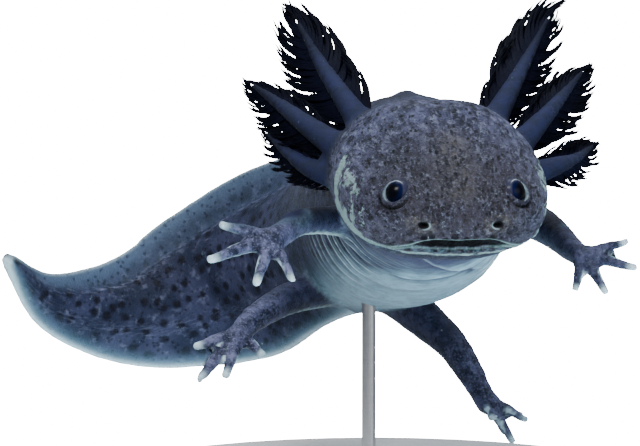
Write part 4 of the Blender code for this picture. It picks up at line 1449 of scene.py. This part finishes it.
def make_filaments(name, tree, material, look, number):
    roots, details = filament_points(name, look, np.random.default_rng(look.seed + number))
    mesh = bpy.data.meshes.new(f"{name}_roots")
    mesh.from_pydata(np.array(roots).tolist(), [], [])
    for label, values in details.items():
        store(mesh, label, np.array(values))
    item = link(f"{name}_roots", mesh)
    modifier = item.modifiers.new("Filaments", "NODES")
    modifier.node_group = tree
    set_inputs(modifier, {"Root Width": look.root_width, "Material": material, **FILAMENT_SHAPE})
    made = evaluated_mesh(item)
    made.name = f"filaments_{name[5:]}"
    bake_map(made)
    made.shade_smooth()
    filaments = link(f"filaments_{name[5:]}", made)
    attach(filaments, "root")
    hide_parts(name)


# ================================================================ stand
STEEL = ((0.50, 0.51, 0.53), (0.68, 0.69, 0.71))


def base_material(look):
    """Satin white acrylic with a faint cloudiness."""
    made, g, surface = blank_material("stand_base_satin", look)
    cloud = g.noise(g.place(18.0), detail=3.0)
    clouded = [c * 0.93 for c in look.base_colour]
    g.fill(surface, {"Base Color": g.paint(look.base_colour, (cloud, clouded)),
                     "Roughness": 0.30 + cloud * 0.15, "Normal": g.bump(g.noise(g.place(0.5)), 0.02)})
    return made


def steel_material():
    """Steel brushed round the rod."""
    made, g, surface = blank_material("stand_steel_brushed")
    brushed = g.noise(g.place((6.0, 6.0, 0.12)), detail=3.0, roughness=0.7)
    g.fill(surface, {"Base Color": g.paint(STEEL[0], (brushed, STEEL[1])), "Metallic": 1.0,
                     "Roughness": 0.22 + brushed * 0.2, "Normal": g.bump(brushed, 0.01)})
    return made


# ================================================================ stage
CAMERA_PLACE = (-0.0120, -0.76434, 0.12901)
CAMERA_DOWN = math.radians(5.0)
CAMERA_LENS = 203.49            # on a 36 mm wide sensor
LIT_PLACE = (0.0, 0.0, 0.06)    # where every light points
FLOOR_RADIUS = 7.0
WHITE = (1.0, 1.0, 1.0)
SKY = (0.90, 0.95, 1.0)
LIGHTS = (                      # name, place, size, share of the key's power, colour
    ("key", (-0.30, -0.75, 0.85), 0.35, 1.0, (1.0, 0.99, 0.97)),
    ("fill", (0.60, -0.70, 0.25), 0.60, 0.20, (0.93, 0.97, 1.0)),
    ("top", (0.05, 0.25, 0.90), 0.50, 0.35, (0.85, 0.92, 1.0)),
    ("rim_right", (-0.60, 0.85, 0.10), 0.40, 0.25, (0.70, 0.88, 1.0)),
    ("rim_left", (0.65, 0.70, 0.10), 0.40, 0.30, (0.70, 0.88, 1.0)),
    ("under", (0.15, -0.25, -0.35), 0.50, 0.50, (0.75, 0.92, 1.0)),
)


def make_floor(look):
    shape = bmesh.new()
    bmesh.ops.create_circle(shape, cap_ends=True, segments=96, radius=FLOOR_RADIUS)
    mesh = mesh_of(shape, "floor")
    made, g, surface = blank_material("stage_floor")
    g.fill(surface, {"Base Color": look.floor_colour, "Roughness": 0.9, "Emission Color": WHITE,
                     "Emission Strength": look.floor_glow})
    mesh.materials.append(made)
    floor = link("floor", mesh)
    floor.visible_diffuse = False
    floor.visible_glossy = False
    floor.visible_shadow = False


def make_lights(look):
    for name, place, size, share, colour in LIGHTS:
        data = bpy.data.lights.new(name, "AREA")
        data.energy = look.key_power * share
        data.size = size
        data.color = colour
        lamp = link(name, data)
        lamp.location = place
        lamp.visible_glossy = not name.startswith(("rim", "under"))
        lamp.rotation_euler = (Vector(LIT_PLACE) - Vector(place)).to_track_quat("-Z", "Y").to_euler()
    world = bpy.data.worlds.new("studio")
    world.use_nodes = True
    Graph(world.node_tree).fill(world.node_tree.nodes["Background"], {"Color": SKY, "Strength": look.ambient})
    bpy.context.scene.world = world


def make_camera():
    data = bpy.data.cameras.new("camera")
    data.lens = CAMERA_LENS
    data.sensor_width = 36.0
    data.clip_start = 0.01
    data.clip_end = 50.0
    camera = link("camera", data)
    camera.location = CAMERA_PLACE
    camera.rotation_euler = (math.pi / 2 - CAMERA_DOWN, 0.0, 0.0)
    bpy.context.scene.camera = camera


# ================================================================ settings
def colour_setting(name, description, default):
    return FloatVectorProperty(name=name, description=description, default=default, subtype="COLOR", size=3,
                               min=0.0, max=1.0)


class SkinLook(bpy.types.PropertyGroup):
    grain: FloatProperty(name="Grain", description="Size of the faces that the skin starts from",
                         default=0.00125, min=0.0008, max=0.003, precision=5, subtype="DISTANCE",
                         unit="LENGTH")
    # back also colours the painted shade in the ring grooves, and back_light the painted shade on the throat
    # and in its creases
    back_colour: colour_setting("Back", "Darker colour of the back and tail", (0.012, 0.018, 0.046))
    back_light_colour: colour_setting("Back, light", "Lighter clouds of the back", (0.036, 0.043, 0.098))
    fleck_colour: colour_setting("Flecks", "Pale flecks", (0.33, 0.36, 0.58))
    # spot also colours the painted shade in the head's pits and on the gill stalks
    spot_colour: colour_setting("Spots", "Dark spots and pits", (0.002, 0.003, 0.010))
    head_colour: colour_setting("Head", "Darker colour of the head", (0.034, 0.037, 0.084))
    head_light_colour: colour_setting("Head, light", "Lighter clouds of the head", (0.175, 0.190, 0.380))
    snout_colour: colour_setting("Snout", "Browner colour of the snout", (0.066, 0.056, 0.062))
    cream_colour: colour_setting("Crown patch", "Creamy patch along the crown", (0.23, 0.215, 0.19))
    stalk_colour: colour_setting("Gill stalks", "Smooth stalks of the gills", (0.014, 0.019, 0.066))
    fin_colour: colour_setting("Fins", "Upper fin", (0.080, 0.125, 0.215))
    # belly also colours a painted band of rim light inside the lower fin's edge
    belly_colour: colour_setting("Belly", "Belly and throat", (0.180, 0.345, 0.475))
    belly_light_colour: colour_setting("Belly, light", "Pale clouds of the belly", (0.37, 0.67, 0.83))
    # pale also colours the painted rim light under the limbs
    pale_colour: colour_setting("Lips", "Lips, cheek patches and fold edges", (0.50, 0.76, 0.79))
    lid_colour: colour_setting("Eye rims", "Soft rims round the eyes", (0.065, 0.066, 0.12))
    # glow also colours painted light: rim light on the fin and digit edges, highlights on folds, nostrils and
    # head, and the reflection line on the lids
    glow_colour: colour_setting("Edges", "Fin edges and toe tips", (0.62, 0.86, 1.0))


class EyeLook(bpy.types.PropertyGroup):
    ball_colour: colour_setting("Ball", "Blue of the ball", (0.0013, 0.0045, 0.036))
    sclera_colour: colour_setting("Ball edge", "Violet-grey edge of the ball", (0.030, 0.033, 0.065))
    # colour of the painted reflection line on the ball
    ring_colour: colour_setting("Ring", "Bright line along the outer side", (0.72, 0.78, 0.95))


class GillLook(bpy.types.PropertyGroup):
    strands: IntProperty(name="Strands", description="Filaments in a clump", default=6, min=1, max=12)
    seed: IntProperty(name="Seed", description="Seed of the filaments' small differences", default=11, min=0)
    root_width: FloatProperty(name="Root width", description="Filament's half width as a share of its length",
                              default=0.038, min=0.01, max=0.2)
    root_colour: colour_setting("Root", "Filament colour at the root", (0.004, 0.005, 0.016))
    tip_colour: colour_setting("Tip", "Filament colour at the tip", (0.0018, 0.0022, 0.007))


class StandLook(bpy.types.PropertyGroup):
    base_colour: colour_setting("Base", "Base of the stand", (0.80, 0.81, 0.82))


class StageLook(bpy.types.PropertyGroup):
    floor_colour: colour_setting("Floor", "Floor", (0.85, 0.86, 0.87))
    floor_glow: FloatProperty(name="Floor glow", description="Light that the floor gives off",
                              default=30.0, min=0.0)
    key_power: FloatProperty(name="Key power", description="Power of the key light",
                             default=12.0, min=0.0, unit="POWER")
    ambient: FloatProperty(name="Ambient", description="Strength of the light from all round",
                           default=0.34, min=0.0)


# ================================================================ operators
class AXOLOTL_OT_skin(bpy.types.Operator):
    """Build the one skin of head, body, limbs and gill stalks"""
    bl_idname = "axolotl.skin"
    bl_label = "Skin"

    def execute(self, context):
        make_skin(context.scene.axolotl_skin)
        return {"FINISHED"}


class AXOLOTL_OT_eyes(bpy.types.Operator):
    """Build both eyeballs in their sockets"""
    bl_idname = "axolotl.eyes"
    bl_label = "Eyes"

    def execute(self, context):
        material = eye_material(context.scene.axolotl_eyes)
        for side, sign in (("right", -1), ("left", 1)):
            make_eye(side, sign, material)
        return {"FINISHED"}


class AXOLOTL_OT_filaments(bpy.types.Operator):
    """Grow the filaments of the six gills"""
    bl_idname = "axolotl.filaments"
    bl_label = "Gill filaments"

    def execute(self, context):
        look = context.scene.axolotl_gills
        tree = filament_tree()
        material = filament_material(look)
        for number, name in enumerate(GILLS):
            make_filaments(name, tree, material, look, number)
        return {"FINISHED"}


class AXOLOTL_OT_stand(bpy.types.Operator):
    """Finish the stand's base, collar and rod"""
    bl_idname = "axolotl.stand"
    bl_label = "Stand"

    def execute(self, context):
        satin = base_material(context.scene.axolotl_stand)
        steel = steel_material()
        for name, material in (("stand_base", satin), ("stand_collar", steel), ("stand_rod", steel)):
            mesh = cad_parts[name].data
            mesh.materials.clear()
            mesh.materials.append(material)
        return {"FINISHED"}


class AXOLOTL_OT_stage(bpy.types.Operator):
    """Lay the floor and set the lights and the camera"""
    bl_idname = "axolotl.stage"
    bl_label = "Stage"

    def execute(self, context):
        look = context.scene.axolotl_stage
        make_floor(look)
        make_lights(look)
        make_camera()
        return {"FINISHED"}


class AXOLOTL_PT_model(bpy.types.Panel):
    """Settings and steps of the axolotl model"""
    bl_label = "Axolotl"
    bl_idname = "AXOLOTL_PT_model"
    bl_space_type = "VIEW_3D"
    bl_region_type = "UI"
    bl_category = "Axolotl"

    def draw(self, context):
        for name, operator in STEPS:
            look = getattr(context.scene, name)
            box = self.layout.box()
            for setting in look.__annotations__:
                box.prop(look, setting)
            box.operator(operator)


STEPS = (
    ("axolotl_skin", "axolotl.skin"),
    ("axolotl_eyes", "axolotl.eyes"),
    ("axolotl_gills", "axolotl.filaments"),
    ("axolotl_stand", "axolotl.stand"),
    ("axolotl_stage", "axolotl.stage"),
)
LOOKS = {"axolotl_skin": SkinLook, "axolotl_eyes": EyeLook, "axolotl_gills": GillLook,
         "axolotl_stand": StandLook, "axolotl_stage": StageLook}
OPERATORS = (AXOLOTL_OT_skin, AXOLOTL_OT_eyes, AXOLOTL_OT_filaments, AXOLOTL_OT_stand, AXOLOTL_OT_stage)


def register():
    for kind in (*LOOKS.values(), *OPERATORS, AXOLOTL_PT_model):
        bpy.utils.register_class(kind)
    for name, kind in LOOKS.items():
        setattr(bpy.types.Scene, name, PointerProperty(type=kind))


def unregister():
    for name in LOOKS:
        delattr(bpy.types.Scene, name)
    for kind in reversed((*LOOKS.values(), *OPERATORS, AXOLOTL_PT_model)):
        bpy.utils.unregister_class(kind)


def main():
    register()
    bpy.ops.axolotl.skin()
    bpy.ops.axolotl.eyes()
    bpy.ops.axolotl.filaments()
    bpy.ops.axolotl.stand()
    bpy.ops.axolotl.stage()


if __name__ == "__main__":
    main()
